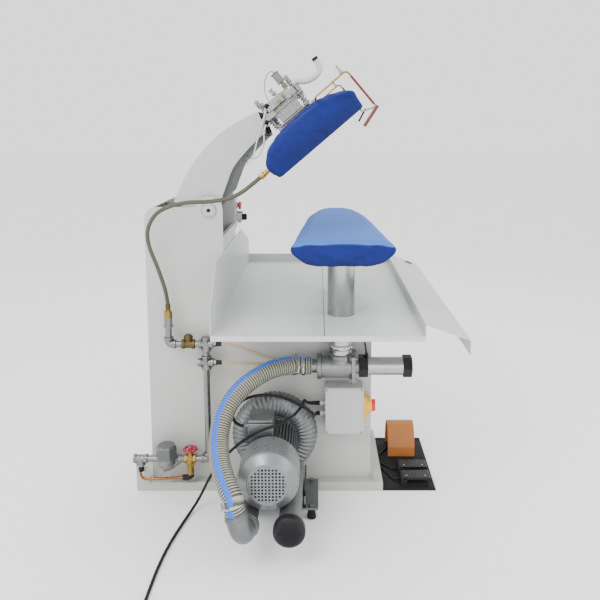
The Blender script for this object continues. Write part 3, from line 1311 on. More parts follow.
def make_motor(cast, silver):
    back = RING_Y - RING_TUBE_RADIUS * 0.9 - GAP
    steps = MOTOR_FINS * 2
    outline = []
    for index in range(steps):
        angle = 2.0 * math.pi * index / steps
        radius = MOTOR_RADIUS if index % 2 else MOTOR_RADIUS - MOTOR_FIN
        for shift in (-0.22, 0.22):
            turn = angle + shift * 2.0 * math.pi / steps
            outline.append((SHAFT_X + radius * math.cos(turn), SHAFT_Z + radius * math.sin(turn)))
    body = prism(outline, MOTOR_FRONT_Y, back)
    core = rod((SHAFT_X, MOTOR_FRONT_Y - PLATE, SHAFT_Z), (SHAFT_X, back, SHAFT_Z),
               MOTOR_RADIUS - MOTOR_FIN * 1.4, MEDIUM)
    shield_y = MOTOR_FRONT_Y + END_SHIELD_SETBACK
    shield_radius = COWL_RADIUS - SHEET - GAP
    shield = rod((SHAFT_X, shield_y, SHAFT_Z), (SHAFT_X, shield_y + END_SHIELD_WIDTH, SHAFT_Z),
                 shield_radius, MEDIUM)
    shaft_hole = rod((SHAFT_X, MOTOR_FRONT_Y - PLATE * 2, SHAFT_Z),
                     (SHAFT_X, MOTOR_FRONT_Y + HUB_RADIUS, SHAFT_Z),
                     bore(SHAFT_RADIUS, COARSE), COARSE)
    saddle = box((TERMINAL_X - TERMINAL_HALF_X, TERMINAL_Y - TERMINAL_HALF_Y, SHAFT_Z + MOTOR_RADIUS * 0.7),
                 (TERMINAL_X + TERMINAL_HALF_X, TERMINAL_Y + TERMINAL_HALF_Y, TERMINAL_FOOT_Z))
    foot = TERMINAL_FOOT_Z - GAP
    box_mesh = bevelled_box((TERMINAL_X - TERMINAL_HALF_X, TERMINAL_Y - TERMINAL_HALF_Y, foot),
                            (TERMINAL_X + TERMINAL_HALF_X, TERMINAL_Y + TERMINAL_HALF_Y, TERMINAL_TOP_Z),
                            BOX_EDGE)
    gland_z = (foot + TERMINAL_TOP_Z) / 2 - GLAND_RADIUS
    left = TERMINAL_X - TERMINAL_HALF_X
    gland = rod((left + OVERRUN, TERMINAL_Y, gland_z), (left - GLAND_LENGTH, TERMINAL_Y, gland_z),
                GLAND_RADIUS, COARSE)
    node("blower_motor", cut(union(body, core, shield, saddle, box_mesh, gland), shaft_hole), cast)
    inner = COWL_RADIUS - SHEET
    length = MOTOR_FRONT_Y + HUB_RADIUS / 2 - COWL_FRONT_Y
    profile = ((0.0, inner), (0.0, COWL_RADIUS), (length - COWL_SLOPE, COWL_RADIUS),
               (length, GRILLE_RADIUS + SHEET),
               (length + SHEET, GRILLE_RADIUS), (length + SHEET, 0.0), (length, 0.0),
               (length, GRILLE_RADIUS),
               (length - COWL_SLOPE, inner))
    cowl = lathe(profile[6:] + profile[:6], (SHAFT_X, COWL_FRONT_Y + length + SHEET, SHAFT_Z), (0, -1, 0),
                 MEDIUM)
    holes = []
    slot = GRILLE_RADIUS / 12
    for row in range(-2, 3):
        reach = math.sqrt(1.0 - (row / 3.2) ** 2) * GRILLE_RADIUS * 0.86
        z = SHAFT_Z + row * GRILLE_RADIUS / 3.2
        holes.append(box((SHAFT_X - reach, COWL_FRONT_Y - OVERRUN, z - slot),
                         (SHAFT_X + reach, COWL_FRONT_Y + PLATE, z + slot)))
    node("blower_cowl", cut(cowl, *holes), silver)
    make_fan(silver)


def make_fan(silver):
    front = COWL_FRONT_Y + COWL_SLOPE
    back = MOTOR_FRONT_Y - PLATE * 2
    hub = rod((SHAFT_X, back, SHAFT_Z), (SHAFT_X, front, SHAFT_Z), FAN_HUB_RADIUS, MEDIUM)
    stub = rod((SHAFT_X, back - PLATE, SHAFT_Z), (SHAFT_X, MOTOR_FRONT_Y + HUB_RADIUS - PLATE, SHAFT_Z),
               SHAFT_RADIUS, COARSE)
    blades = []
    for index in range(FAN_BLADES):
        blade = box((FAN_HUB_RADIUS / 2, front, -FAN_BLADE_THICK / 2),
                    (FAN_RADIUS, back - PLATE, FAN_BLADE_THICK / 2))
        blade.transform(Matrix.Translation((SHAFT_X, 0.0,
                                            SHAFT_Z)) @ Matrix.Rotation(2 * math.pi * index / FAN_BLADES,
                                                                        4, "Y"))
        blades.append(blade)
    node("motor_fan", union(hub, stub, *blades), silver)


def blower_feet():
    feet = []
    for x in (SHAFT_X - FOOT_HALF_WIDTH + RAIL_WIDTH / 2, SHAFT_X + FOOT_HALF_WIDTH - RAIL_WIDTH / 2):
        for y in (FOOT_NEAR_Y + RUBBER_INSET, FOOT_FAR_Y - RUBBER_INSET):
            feet.append(lathe(((0.0, 0.0), (0.0, RUBBER_RADIUS), (FOOT_Z / 2, RUBBER_RADIUS * 0.82),
                               (FOOT_Z + OVERRUN, RUBBER_RADIUS), (FOOT_Z + OVERRUN, 0.0)), (x, y, 0.0),
                               (0, 0, 1), COARSE))
    return feet


# Electrical box and isolator

def make_electrics(paint, yellow, red, black):
    far = PANEL_NEAR_Y - GAP
    body = bevelled_box((BOX_LEFT_X, BOX_NEAR_Y, BOX_FOOT_Z), (BOX_RIGHT_X, far, BOX_TOP_Z), BOX_EDGE)
    glands = []
    for z in (MAINS_GLAND_Z, MOTOR_GLAND_Z):
        glands.append(rod((BOX_LEFT_X + OVERRUN, GLAND_Y, z), (BOX_LEFT_X - GLAND_LENGTH, GLAND_Y, z),
                          GLAND_RADIUS, COARSE))
    node("control_box", union(body, *glands), paint)
    y = (BOX_NEAR_Y + far) / 2
    left = BOX_RIGHT_X + GAP
    plate_right = left + ISOLATOR_PLATE
    plate = box((left, y - ISOLATOR_HALF_Y, ISOLATOR_Z - ISOLATOR_HALF),
                (plate_right, y + ISOLATOR_HALF_Y, ISOLATOR_Z + ISOLATOR_HALF))
    middle = rod((plate_right - GAP, y, ISOLATOR_Z), (plate_right + ISOLATOR_BODY, y, ISOLATOR_Z),
                 ISOLATOR_BODY_HALF, FINE)
    node("isolator_body", union(plate, middle), yellow)
    knob_left = plate_right + ISOLATOR_BODY + GAP
    knob_right = knob_left + ISOLATOR_KNOB_WIDTH
    disc = rod((knob_left, 0.0, 0.0), (knob_left + ISOLATOR_KNOB_WIDTH / 2, 0.0, 0.0), ISOLATOR_KNOB_RADIUS,
               MEDIUM)
    grip = box((knob_left + GAP, -ISOLATOR_KNOB_RADIUS / 3, -ISOLATOR_KNOB_RADIUS * 1.2),
               (knob_right, ISOLATOR_KNOB_RADIUS / 3, ISOLATOR_KNOB_RADIUS * 1.2))
    node("isolator_knob", union(disc, grip), red, None, (0.0, y, ISOLATOR_Z))


# Steam pipework

def leg(start, end, radius, back):
    """A fitting's round leg, which begins a little behind its start so that legs meet in a corner."""
    first = Vector(start)
    way = (Vector(end) - first).normalized()
    return rod(first - way * back, end, radius, COARSE)


def make_steam(steel, brass, red):
    y = STEAM_Y
    pipe = STEAM_PIPE_RADIUS
    fit = STEAM_FITTING_RADIUS
    riser_side = RISER_X - TEE_REACH
    bodies = [rod((RISER_X, y, STEAM_LOW_Z + fit / 2), (RISER_X, y, STEAM_TOP_Z + fit / 3), pipe, COARSE),
              rod((CHECK_X + CHECK_HALF + GAP, y, STEAM_TOP_Z), (RISER_X - fit, y, STEAM_TOP_Z), pipe,
                  COARSE),
              rod((riser_side + fit / 2, y, STEAM_LOW_Z), (GATE_X + GATE_HALF + GAP, y, STEAM_LOW_Z), pipe,
                  COARSE)]
    for z in (STEAM_MID_Z, STEAM_TOP_Z):
        bodies.append(rod((riser_side, y, z), (RISER_X + TEE_REACH, y, z), fit, COARSE))
        bodies.append(rod((RISER_X, y, z + TEE_REACH), (RISER_X, y, z - TEE_REACH), STEAM_BEAD, COARSE))
    bodies.append(leg((RISER_X, y, STEAM_LOW_Z), (RISER_X, y, STEAM_LOW_Z + TEE_REACH), STEAM_BEAD, fit))
    bodies.append(leg((RISER_X, y, STEAM_LOW_Z), (riser_side, y, STEAM_LOW_Z), fit, fit * 0.7))
    node("steam_riser", union(bodies[0], *bodies[1:], *make_hose_nuts()), steel)
    make_supply_run(y, pipe, fit, steel)
    make_brass(brass, y)
    make_handwheel(red)


def make_supply_run(y, pipe, fit, steel):
    """The low run from the gate valve past the trap and the strainer to the left tee."""
    right = GATE_X - GATE_HALF - GAP
    left = SUPPLY_TEE_X
    parts = [rod((left - TEE_REACH, y, STEAM_LOW_Z), (left + TEE_REACH, y, STEAM_LOW_Z), fit, COARSE),
             leg((left, y, STEAM_LOW_Z), (left, y, STEAM_LOW_Z - TEE_REACH), STEAM_BEAD, fit / 3),
             rod((TRAP_X + TRAP_BODY_RADIUS - SHEET * 3, y, STEAM_LOW_Z), (right - SHEET, y, STEAM_LOW_Z),
                 fit, COARSE)]
    start = (TRAP_X + TRAP_BODY_RADIUS + fit, y, STEAM_LOW_Z)
    end = (start[0] - STRAINER_FALL_X, y + pipe, start[2] - STRAINER_FALL_Z)
    parts.append(rod(start, end, STRAINER_RADIUS, HEX))
    parts += make_trap()
    parts += make_copper()
    node("steam_supply", union(rod((left, y, STEAM_LOW_Z), (right, y, STEAM_LOW_Z), pipe, COARSE), *parts),
         steel)


def make_hose_nuts():
    pieces = []
    inner = bore(SUPPLY_HOSE_RADIUS + GAP, HEX)
    for z in (STEAM_MID_Z, STEAM_TOP_Z):
        left = RISER_X + TEE_REACH - GAP
        pieces.append(lathe(((0.0, inner), (0.0, FERRULE_RADIUS), (BLACK_FITTING_LENGTH, FERRULE_RADIUS),
                             (BLACK_FITTING_LENGTH, inner)), (left, STEAM_Y, z), (1, 0, 0), HEX))
    return pieces


def make_union_nut():
    foot = STEAM_COUPLING_TOP - GAP
    return rod((STEAM_LEFT_X, STEAM_Y, foot), (STEAM_LEFT_X, STEAM_Y, STEAM_HEX_TOP), STEAM_HEX_RADIUS,
               COARSE)


def make_trap():
    """The steam trap: a round body under a hexagonal cap."""
    foot = TRAP_CAP_FOOT_Z
    rim = TRAP_CAP_RADIUS
    edge = TRAP_CAP_CHAMFER
    cap = lathe(((foot, 0.0), (foot, rim), (TRAP_CAP_TOP_Z - edge, rim), (TRAP_CAP_TOP_Z, rim - edge),
                 (TRAP_CAP_TOP_Z, 0.0)), (TRAP_X, TRAP_Y, 0.0), (0, 0, 1), HEX)
    body = rod((TRAP_X, TRAP_Y, TRAP_BODY_FOOT_Z), (TRAP_X, TRAP_Y, foot + PLATE), TRAP_BODY_RADIUS, MEDIUM)
    return cap, body


def make_brass(brass, y):
    """The check valve in the top run, the gate valve's body with its bonnet and the hose's union nut."""
    half = CHECK_HALF
    check = lathe(((-half, 0.0), (-half, CHECK_RADIUS), (-half * 0.6, CHECK_RADIUS),
                   (-half * 0.4, CHECK_RADIUS * 0.85),
                   (half * 0.4, CHECK_RADIUS * 0.85), (half * 0.6, CHECK_RADIUS), (half, CHECK_RADIUS),
                   (half, 0.0)),
                  (CHECK_X, y, STEAM_TOP_Z), (1, 0, 0), COARSE)
    dome = lathe(((0.0, 0.0), (0.0, CHECK_CAP_RADIUS), (CHECK_CAP_HEIGHT * 0.7, CHECK_CAP_RADIUS),
                  (CHECK_CAP_HEIGHT, CHECK_CAP_RADIUS * 0.6), (CHECK_CAP_HEIGHT, 0.0)),
                  (CHECK_X, y, STEAM_TOP_Z), (0, 0, 1), COARSE)
    half = GATE_HALF
    body = lathe(((-half, 0.0), (-half, GATE_RADIUS), (half, GATE_RADIUS), (half, 0.0)),
                 (GATE_X, y, STEAM_LOW_Z), (1, 0, 0), HEX)
    bonnet_top = GATE_BONNET_TOP
    bonnet = lathe(((STEAM_LOW_Z - GATE_DROP, 0.0), (STEAM_LOW_Z - GATE_DROP, GATE_RADIUS * 0.8),
                    (STEAM_LOW_Z - half, GATE_RADIUS),
                    (STEAM_LOW_Z, GATE_RADIUS), (bonnet_top - BEAD_WIDTH, GATE_RADIUS * 0.72),
                    (bonnet_top, GATE_RADIUS * 0.72),
                    (bonnet_top, 0.0)), (GATE_X, y, 0.0), (0, 0, 1), COARSE)
    bore_hole = rod((GATE_X, y, STEAM_LOW_Z + BEAD_WIDTH), (GATE_X, y, bonnet_top + OVERRUN),
                    bore(GATE_STEM_RADIUS, COARSE), COARSE)
    node("gate_valve", cut(union(body, bonnet, *gate_elbow()), bore_hole), brass)
    left = STEAM_LEFT_X
    pipe = rod((left, y, STEAM_TOP_Z), (CHECK_X - CHECK_HALF + OVERRUN, y, STEAM_TOP_Z), STEAM_PIPE_RADIUS,
               COARSE)
    fit = STEAM_FITTING_RADIUS
    legs = [leg((left, y, STEAM_TOP_Z), (left, y, STEAM_COUPLING_TOP), STEAM_BEAD, fit),
            leg((left, y, STEAM_TOP_Z), (left + TEE_REACH, y, STEAM_TOP_Z), fit, fit * 0.7)]
    node("check_valve", union(pipe, check, dome, make_union_nut(), *legs), brass)


def make_handwheel(red):
    """The lobed wheel with three spokes, its hub and the stem that turns in the bonnet."""
    steps = WHEEL_LOBES * 2
    points = []
    for index in range(steps):
        angle = 2.0 * math.pi * index / steps
        radius = WHEEL_RADIUS * (1.0 + 0.07 * math.cos(WHEEL_LOBES * angle)) - WHEEL_RIM
        points.append((radius * math.cos(angle), radius * math.sin(angle)))
    outer = [(x * (1.0 + WHEEL_RIM / WHEEL_RADIUS), y * (1.0 + WHEEL_RIM / WHEEL_RADIUS)) for x,
             y in points]
    middle = WHEEL_Z - GATE_BONNET_TOP
    rim = prism(outer, middle - WHEEL_RIM, middle + WHEEL_RIM, "Z")
    inner = [(x * 0.74, y * 0.74) for x, y in points]
    rim = cut(rim, prism(inner, middle - WHEEL_RIM * 2, middle + WHEEL_RIM * 2, "Z"))
    hub = rod((0.0, 0.0, GAP), (0.0, 0.0, middle + WHEEL_HUB_HEIGHT / 2), WHEEL_HUB_RADIUS, COARSE)
    stem = rod((0.0, 0.0, STEAM_LOW_Z - GATE_BONNET_TOP + BEAD_WIDTH + GAP), (0.0, 0.0, middle),
               GATE_STEM_RADIUS, COARSE)
    spokes = []
    for index in range(3):
        spoke = box((0.0, -WHEEL_RIM * 0.6, middle - WHEEL_RIM * 0.7),
                    (WHEEL_RADIUS * 0.8, WHEEL_RIM * 0.6, middle + WHEEL_RIM * 0.7))
        spoke.transform(Matrix.Rotation(2.0 * math.pi * index / 3, 4, "Z"))
        spokes.append(spoke)
    node("handwheel", union(rim, hub, stem, *spokes), red, None, (GATE_X, STEAM_Y, GATE_BONNET_TOP))


def copper_end():
    """The middle of the elbow under the gate valve, and the X where its nut begins."""
    return COPPER_Z - FERRULE_RADIUS, GATE_X - FERRULE_LENGTH * 1.3


def gate_elbow():
    """The elbow under the gate valve, with a nut that the copper tube goes into."""
    z, nut_x = copper_end()
    foot = STEAM_LOW_Z - GATE_DROP + GAP
    leg = rod((GATE_X, STEAM_Y, foot), (GATE_X, STEAM_Y, z - FERRULE_RADIUS), FERRULE_RADIUS * 1.1, COARSE)
    inner = bore(COPPER_RADIUS + GAP, HEX)
    nut = lathe(((0.0, inner), (0.0, FERRULE_RADIUS), (GATE_X - nut_x, FERRULE_RADIUS),
                 (GATE_X - nut_x, inner)),
                (nut_x, STEAM_Y, z), (1, 0, 0), HEX)
    return leg, nut


def make_copper():
    """The copper tube from the nut under the left tee to the elbow under the gate valve."""
    left = SUPPLY_TEE_X
    top = STEAM_LOW_Z - TEE_REACH + GAP
    y = STEAM_Y
    z, nut_x = copper_end()
    nut = rod((left, y, top), (left, y, top - FERRULE_LENGTH), FERRULE_RADIUS, HEX)
    out = COPPER_BEND * 0.35
    low = top - FERRULE_LENGTH
    route = [Vector((left, y, low + BEAD_WIDTH)), Vector((left, y, low)),
             Vector((left - out * 0.2, y - out * 0.4, z + COPPER_BEND * 0.6)),
             Vector((left + COPPER_BEND * 0.45, y - out, z)),
             Vector((left + COPPER_BEND * 2.2, y - out, z)),
             Vector((nut_x - COPPER_BEND, y - out * 0.3, z)),
             Vector((nut_x - FERRULE_RADIUS, y, z)), Vector((nut_x + FERRULE_LENGTH * 0.3, y, z))]
    return nut, tube_mesh(smooth(route, 15, True), COPPER_RADIUS)


# Hoses and cables

def head_point(u, y, n):
    """A point of the head's frame in the press's frame, with the arm open."""
    rise = math.radians(HEAD_RISE_DEG)
    x0 = HEAD_CENTRE_X - HEAD_HALF_FACE * math.cos(rise)
    z0 = HEAD_CENTRE_Z - HEAD_HALF_FACE * math.sin(rise)
    return Vector((x0 + u * math.cos(rise) - n * math.sin(rise), y, z0 + u * math.sin(rise)
                   + n * math.cos(rise)))


def make_hoses(braid, beige):
    up = Vector((0.0, 0.0, 1.0))
    rise = math.radians(HEAD_RISE_DEG)
    back = Vector((-math.cos(rise), 0.0, -math.sin(rise)))
    straight = STEAM_HOSE_RADIUS * 3
    start = lead(Vector((STEAM_LEFT_X, STEAM_Y, STEAM_HEX_TOP + RUN_GAP)), up, straight)
    end = lead(head_point(inlet_left_u() - RUN_GAP, INLET_Y, INLET_N), back, straight)
    cord_node("steam_hose", smooth([*start, *STEAM_HOSE_ROUTE, *reversed(end)], 26, True),
              STEAM_HOSE_RADIUS, braid)
    for name, route, z in (("supply_hose_upper", SUPPLY_TOP_ROUTE, STEAM_TOP_Z),
                           ("supply_hose_lower", SUPPLY_LOW_ROUTE, STEAM_MID_Z)):
        first = lead(Vector((RISER_X + TEE_REACH + RUN_GAP, STEAM_Y, z)), Vector((1.0, 0.0, 0.0)),
                     BLACK_FITTING_LENGTH)
        wall = Vector((route[-1][0] + SUPPLY_HOSE_RADIUS, PANEL_NEAR_Y - RUN_GAP, route[-1][2]))
        last = lead(wall, Vector((0.0, -1.0, 0.0)), SUPPLY_HOSE_RADIUS * 5)
        cord_node(name, smooth([*first, *route[:-1], *reversed(last)], 14, True), SUPPLY_HOSE_RADIUS, beige)


def make_cables(black, rubber):
    gland = BOX_LEFT_X - GLAND_LENGTH - RUN_GAP
    left = Vector((-1.0, 0.0, 0.0))
    straight = CABLE_RADIUS * 3
    start = lead(Vector((gland, GLAND_Y, MOTOR_GLAND_Z)), left, straight)
    box_z = (TERMINAL_FOOT_Z - GAP + TERMINAL_TOP_Z) / 2 - GLAND_RADIUS
    end = lead(Vector((TERMINAL_X - TERMINAL_HALF_X - GLAND_LENGTH - RUN_GAP, TERMINAL_Y, box_z)), left,
               straight)
    cord_node("motor_cable", smooth([*start, *MOTOR_CABLE_ROUTE, *reversed(end)], 24, True), CABLE_RADIUS,
              black)
    start = lead(Vector((gland, GLAND_Y, MAINS_GLAND_Z)), left, straight)
    coil = coil_points()
    way = (coil[0] - coil[1]).normalized()
    end = lead(coil[0] + way * GAP, way, straight)
    mains = smooth([*start, *MAINS_ROUTE, *reversed(end)], 48, True)
    cord_node("mains_cable", mains, CABLE_RADIUS, black)
    cord_node("mains_cable_coil", coil, CABLE_RADIUS, black, 1)
    print("least gap of the coil to itself, mm:", round(coil_gap(coil) * 1000, 2))
    print("length of the mains lead, m:", round(route_length(mains) + route_length(coil), 3))
    make_plug(coil, rubber)


def route_length(points):
    return sum((after - before).length for before, after in zip(points, points[1:]))


def coil_points():
    """Two layers of turns: in on the floor, up in the half turn where the spiral reverses, and out."""
    pitch = CABLE_RADIUS * 2 + COIL_SPACE
    lift = COIL_LIFT
    outer = COIL_INNER_RADIUS + pitch * COIL_LAYER_TURNS
    low = CABLE_RADIUS + FLOOR_GAP
    centre = Vector((COIL_X, COIL_Y, 0.0))
    points = []
    total = COIL_LAYER_TURNS * COIL_TURN_POINTS
    climb = COIL_TURN_POINTS // 2
    for step in range(2 * total + climb + 1):
        angle = -2.0 * math.pi * step / COIL_TURN_POINTS
        if step <= total:
            radius = outer - pitch * step / COIL_TURN_POINTS
            z = low
        elif step <= total + climb:
            share = (step - total) / climb
            radius = COIL_INNER_RADIUS
            z = low + lift * (0.5 - 0.5 * math.cos(math.pi * share))
        else:
            radius = COIL_INNER_RADIUS + pitch * (step - total - climb) / COIL_TURN_POINTS
            z = low + lift
        points.append(centre + Vector((radius * math.cos(angle), radius * math.sin(angle), z)))
    first_way = (points[0] - points[1]).normalized()
    last_way = (points[-1] - points[-2]).normalized()
    straight = CABLE_RADIUS * 2
    return [points[0] + first_way * straight, *points, points[-1] + last_way * straight,
            points[-1] + last_way * COIL_TAIL]


def coil_gap(points):
    """The least gap between stretches of the coil that lie over half a turn apart."""
    least = COIL_INNER_RADIUS
    apart = COIL_TURN_POINTS // 2
    for index, point in enumerate(points):
        for other in points[index + apart:]:
            least = min(least, (other - point).length - CABLE_RADIUS * 2)
    return least


def make_plug(coil, rubber):
    """A round plug on the end of the coil, resting on the turns' level, with its neck and three pins."""
    way = (coil[-1] - coil[-2]).normalized()
    start = coil[-1] + way * GAP
    body_start = PLUG_NECK_LENGTH
    body_end = body_start + PLUG_LENGTH
    profile = ((0.0, 0.0), (0.0, CABLE_RADIUS * 1.3), (body_start, PLUG_NECK_RADIUS),
               (body_start, PLUG_RADIUS * 0.8),
               (body_start + PLUG_NECK_RADIUS, PLUG_RADIUS), (body_end, PLUG_RADIUS), (body_end, 0.0))
    body = lathe(profile, start, way, COARSE)
    side = way.cross(Vector((0.0, 0.0, 1.0))).normalized()
    up = side.cross(way).normalized()
    pins = []
    for index in range(3):
        angle = 2.0 * math.pi * index / 3 + math.pi / 2
        spot = start + way * (body_end - PLUG_NECK_RADIUS) + (side * math.cos(angle)
                                                              + up * math.sin(angle)) * PLUG_PIN_SPREAD
        pins.append(rod(spot, spot + way * (PLUG_PIN_LENGTH + PLUG_NECK_RADIUS), PLUG_PIN_RADIUS, SMALL))
    node("mains_plug", union(body, *pins), rubber)


# Foot controls

def make_pedals(rubber, orange, black):
    mat = box((MAT_LEFT_X, MAT_NEAR_Y, 0.0), (MAT_RIGHT_X, MAT_FAR_Y, MAT_THICK))
    foot = MAT_THICK + GAP
    depth = GUARD_FAR_Y - GUARD_NEAR_Y
    height = GUARD_TOP_Z - foot
    line = [(GUARD_NEAR_Y + depth * y_share, foot + height * z_share) for y_share,
            z_share in GUARD_KNEE_SHARES]
    node("pedal_guard", sheet(list(reversed(line)), GUARD_SHEET, GUARD_LEFT_X, GUARD_RIGHT_X, "X"), orange)
    make_pedal("pedal_front", PEDAL_LEFT_X, PEDAL_RIGHT_X, PEDAL_NEAR_Y_VALUES[0], foot, black)
    make_pedal("pedal_middle", PEDAL_LEFT_X, PEDAL_RIGHT_X, PEDAL_NEAR_Y_VALUES[1], foot, black)
    make_pedal("pedal_guarded", GUARDED_PEDAL_LEFT_X, GUARDED_PEDAL_LEFT_X + GUARDED_PEDAL_LENGTH,
               GUARDED_PEDAL_NEAR_Y, foot, black)
    node("pedal_board", union(mat, *make_pedal_bases(MAT_THICK)), rubber)


def pedal_places():
    yield PEDAL_LEFT_X, PEDAL_RIGHT_X, PEDAL_NEAR_Y_VALUES[0]
    yield PEDAL_LEFT_X, PEDAL_RIGHT_X, PEDAL_NEAR_Y_VALUES[1]
    yield GUARDED_PEDAL_LEFT_X, GUARDED_PEDAL_LEFT_X + GUARDED_PEDAL_LENGTH, GUARDED_PEDAL_NEAR_Y


def pedal_hinge(left, foot):
    return left + PEDAL_HINGE_RADIUS * 2, foot + PEDAL_FOOT_HEIGHT + PEDAL_HINGE_RADIUS * 2.5


def make_pedal(name, left, right, near, foot, black):
    """A treadle plate with two side flanges that hang on the hinge pin at its left end."""
    hinge_x, hinge_z = pedal_hinge(left, foot)
    top = PEDAL_TOP_Z - hinge_z
    long = right - hinge_x
    inner = PEDAL_SIDE + GAP * 2
    y0 = inner
    y1 = PEDAL_WIDTH - inner
    outline = ((-PEDAL_HINGE_RADIUS * 1.9, -PEDAL_HINGE_RADIUS * 1.9),
               (PEDAL_HINGE_RADIUS * 2, -PEDAL_HINGE_RADIUS * 1.9),
               (PEDAL_HINGE_RADIUS * 4, top - PEDAL_THICK), (long, top - PEDAL_THICK),
               (long, top - PEDAL_THICK / 3),
               (long - PEDAL_THICK / 3, top), (0.0, top), (-PEDAL_HINGE_RADIUS * 1.9, PEDAL_HINGE_RADIUS))
    plate = prism(outline, y0, y1)
    hole = rod((0.0, -OVERRUN, 0.0), (0.0, PEDAL_WIDTH + OVERRUN, 0.0), bore(PEDAL_HINGE_RADIUS, COARSE),
               COARSE)
    node(name, cut(plate, hole), black, None, (hinge_x, near, hinge_z))


def make_pedal_bases(foot):
    """A low plate under each pedal with two cheeks and the hinge pin between them."""
    bases = []
    for left, right, near in pedal_places():
        hinge_x, hinge_z = pedal_hinge(left, foot + GAP)
        plate = box((left, near, foot - SHEET),
                    (right - PEDAL_THICK, near + PEDAL_WIDTH, foot + PEDAL_FOOT_HEIGHT))
        cheeks = []
        for y in (near, near + PEDAL_WIDTH - PEDAL_SIDE):
            cheeks.append(box((left, y, foot + GAP),
                              (hinge_x + PEDAL_HINGE_RADIUS * 3, y + PEDAL_SIDE, hinge_z
                               + PEDAL_HINGE_RADIUS * 1.6)))
        pin = rod((hinge_x, near + PEDAL_SIDE / 2, hinge_z),
                  (hinge_x, near + PEDAL_WIDTH - PEDAL_SIDE / 2, hinge_z), PEDAL_HINGE_RADIUS, COARSE)
        bases.append(union(plate, *cheeks, pin))
    return bases


# Head

def make_head(pivot, blue, steel, silver, brass):
    origin = head_point(0.0, 0.0, 0.0) - Vector((PIVOT_X, 0.0, PIVOT_Z))
    head = frame_empty("head_frame", origin, HEAD_RISE_DEG, pivot)
    rows = []
    for share in PAD_ROW_SHARES:
        y = HEAD_NEAR_Y + (HEAD_FAR_Y - HEAD_NEAR_Y) * share
        width = HEAD_SPAN * plan_width(share)
        thin = 1.0 - 0.10 * max(1.0 - share / 0.05, 0.0) ** 2 - 0.40 * max((share - 0.88) / 0.12, 0.0) ** 2
        middle = HEAD_THICK / 2
        rows.append([(HEAD_MIDDLE_U + width * x_share, y, middle + (z_share * HEAD_THICK - middle) * thin)
                     for x_share, z_share in HEAD_SECTION_SHARES])
    node("head_pad", section_loft(rows), blue, head)
    make_stack(head, steel)
    make_bracket(head, steel)
    make_springs(head, steel)
    node("steam_valve", make_steam_valve(), silver, head)
    node("head_inlet", make_inlet(), brass, head)
    make_guard(head, brass)


def stack_top():
    return HEAD_THICK + GAP + STACK_LAYER * 3 + STACK_SPACE * 2


def make_stack(head, steel):
    """Three plates on the head's back, held apart by spacers."""
    low = HEAD_THICK + GAP
    layers = []
    for index in range(3):
        inset = index * STACK_LAYER * 1.5
        z = low + index * (STACK_LAYER + STACK_SPACE)
        layers.append(box((STACK_LEFT_U + inset, STACK_NEAR_Y + inset, z),
                          (STACK_RIGHT_U - inset, STACK_FAR_Y - inset, z + STACK_LAYER)))
    spacers = []
    for y in (STUD_NEAR_Y, STUD_FAR_Y):
        spacers.append(box((STUD_LEFT_U - STACK_SPACER_RADIUS * 0.3, y - STACK_SPACER_RADIUS, low + GAP),
                           (STUD_RIGHT_U - STACK_SPACER_RADIUS, y + STACK_SPACER_RADIUS,
                            stack_top() - GAP)))
    ears = []
    for y in (STACK_NEAR_Y + GUARD_EAR_THICK, STACK_FAR_Y - GUARD_EAR_THICK * 2):
        outline = arc((GUARD_PIVOT_U, GUARD_PIVOT_N), GUARD_EAR_RADIUS, -90.0, 90.0, 6)
        outline += [(STACK_RIGHT_U - GUARD_EAR_RADIUS, GUARD_PIVOT_N + GUARD_EAR_RADIUS),
                    (STACK_RIGHT_U - GUARD_EAR_RADIUS, GUARD_PIVOT_N - GUARD_EAR_RADIUS)]
        ears.append(prism(outline, y, y + GUARD_EAR_THICK))
    drill = rod((GUARD_PIVOT_U, STACK_NEAR_Y - OVERRUN, GUARD_PIVOT_N),
                (GUARD_PIVOT_U, STACK_FAR_Y + OVERRUN, GUARD_PIVOT_N),
                bore(GUARD_ROD_RADIUS, COARSE), COARSE)
    node("head_plates", cut(union(*layers[:1], *spacers, *layers[1:], *ears, *make_studs()), drill),
         steel, head)


def make_bracket(head, steel):
    """The block between the arm's plates and the flange that the studs pass through."""
    foot = stack_top() + STACK_SPACE
    block = box((BRACKET_BLOCK_LEFT_U, BRACKET_NEAR_Y, foot),
                (BRACKET_RIGHT_U, BRACKET_FAR_Y, BRACKET_TOP_N))
    flange = box((FLANGE_LEFT_U, STUD_NEAR_Y - STUD_NUT_RADIUS * 1.3, FLANGE_N),
                 (FLANGE_RIGHT_U, STUD_FAR_Y + STUD_NUT_RADIUS * 1.3, FLANGE_N + PLATE))
    tongue = box((BRACKET_LEFT_U, ARM_NEAR_Y + SHEET + GAP, FLANGE_N - PLATE),
                 (BRACKET_BLOCK_LEFT_U + PLATE, ARM_FAR_Y - SHEET - GAP, FLANGE_N + PLATE * 3))
    holes = []
    for u in (STUD_LEFT_U, STUD_RIGHT_U):
        for y in (STUD_NEAR_Y, STUD_FAR_Y):
            holes.append(rod((u, y, FLANGE_N - PLATE * 2), (u, y, FLANGE_N + PLATE * 4),
                             bore(STUD_RADIUS, SMALL), SMALL))
    node("head_bracket", cut(union(block, flange, tongue), *holes), steel, head)


def spring_points(u, y, low, high):
    """A coil spring's middle line with flat first and last curls."""
    points = []
    total = SPRING_CURLS * CURL_POINTS
    for step in range(total + 1):
        share = step / total
        angle = 2.0 * math.pi * step / CURL_POINTS
        eased = min(max((share - 0.12) / 0.76, 0.0), 1.0)
        z = low + SPRING_WIRE + (high - low - 2 * SPRING_WIRE) * (0.06 * share + 0.94 * eased)
        points.append(Vector((u + SPRING_RADIUS * math.cos(angle), y + SPRING_RADIUS * math.sin(angle), z)))
    return points


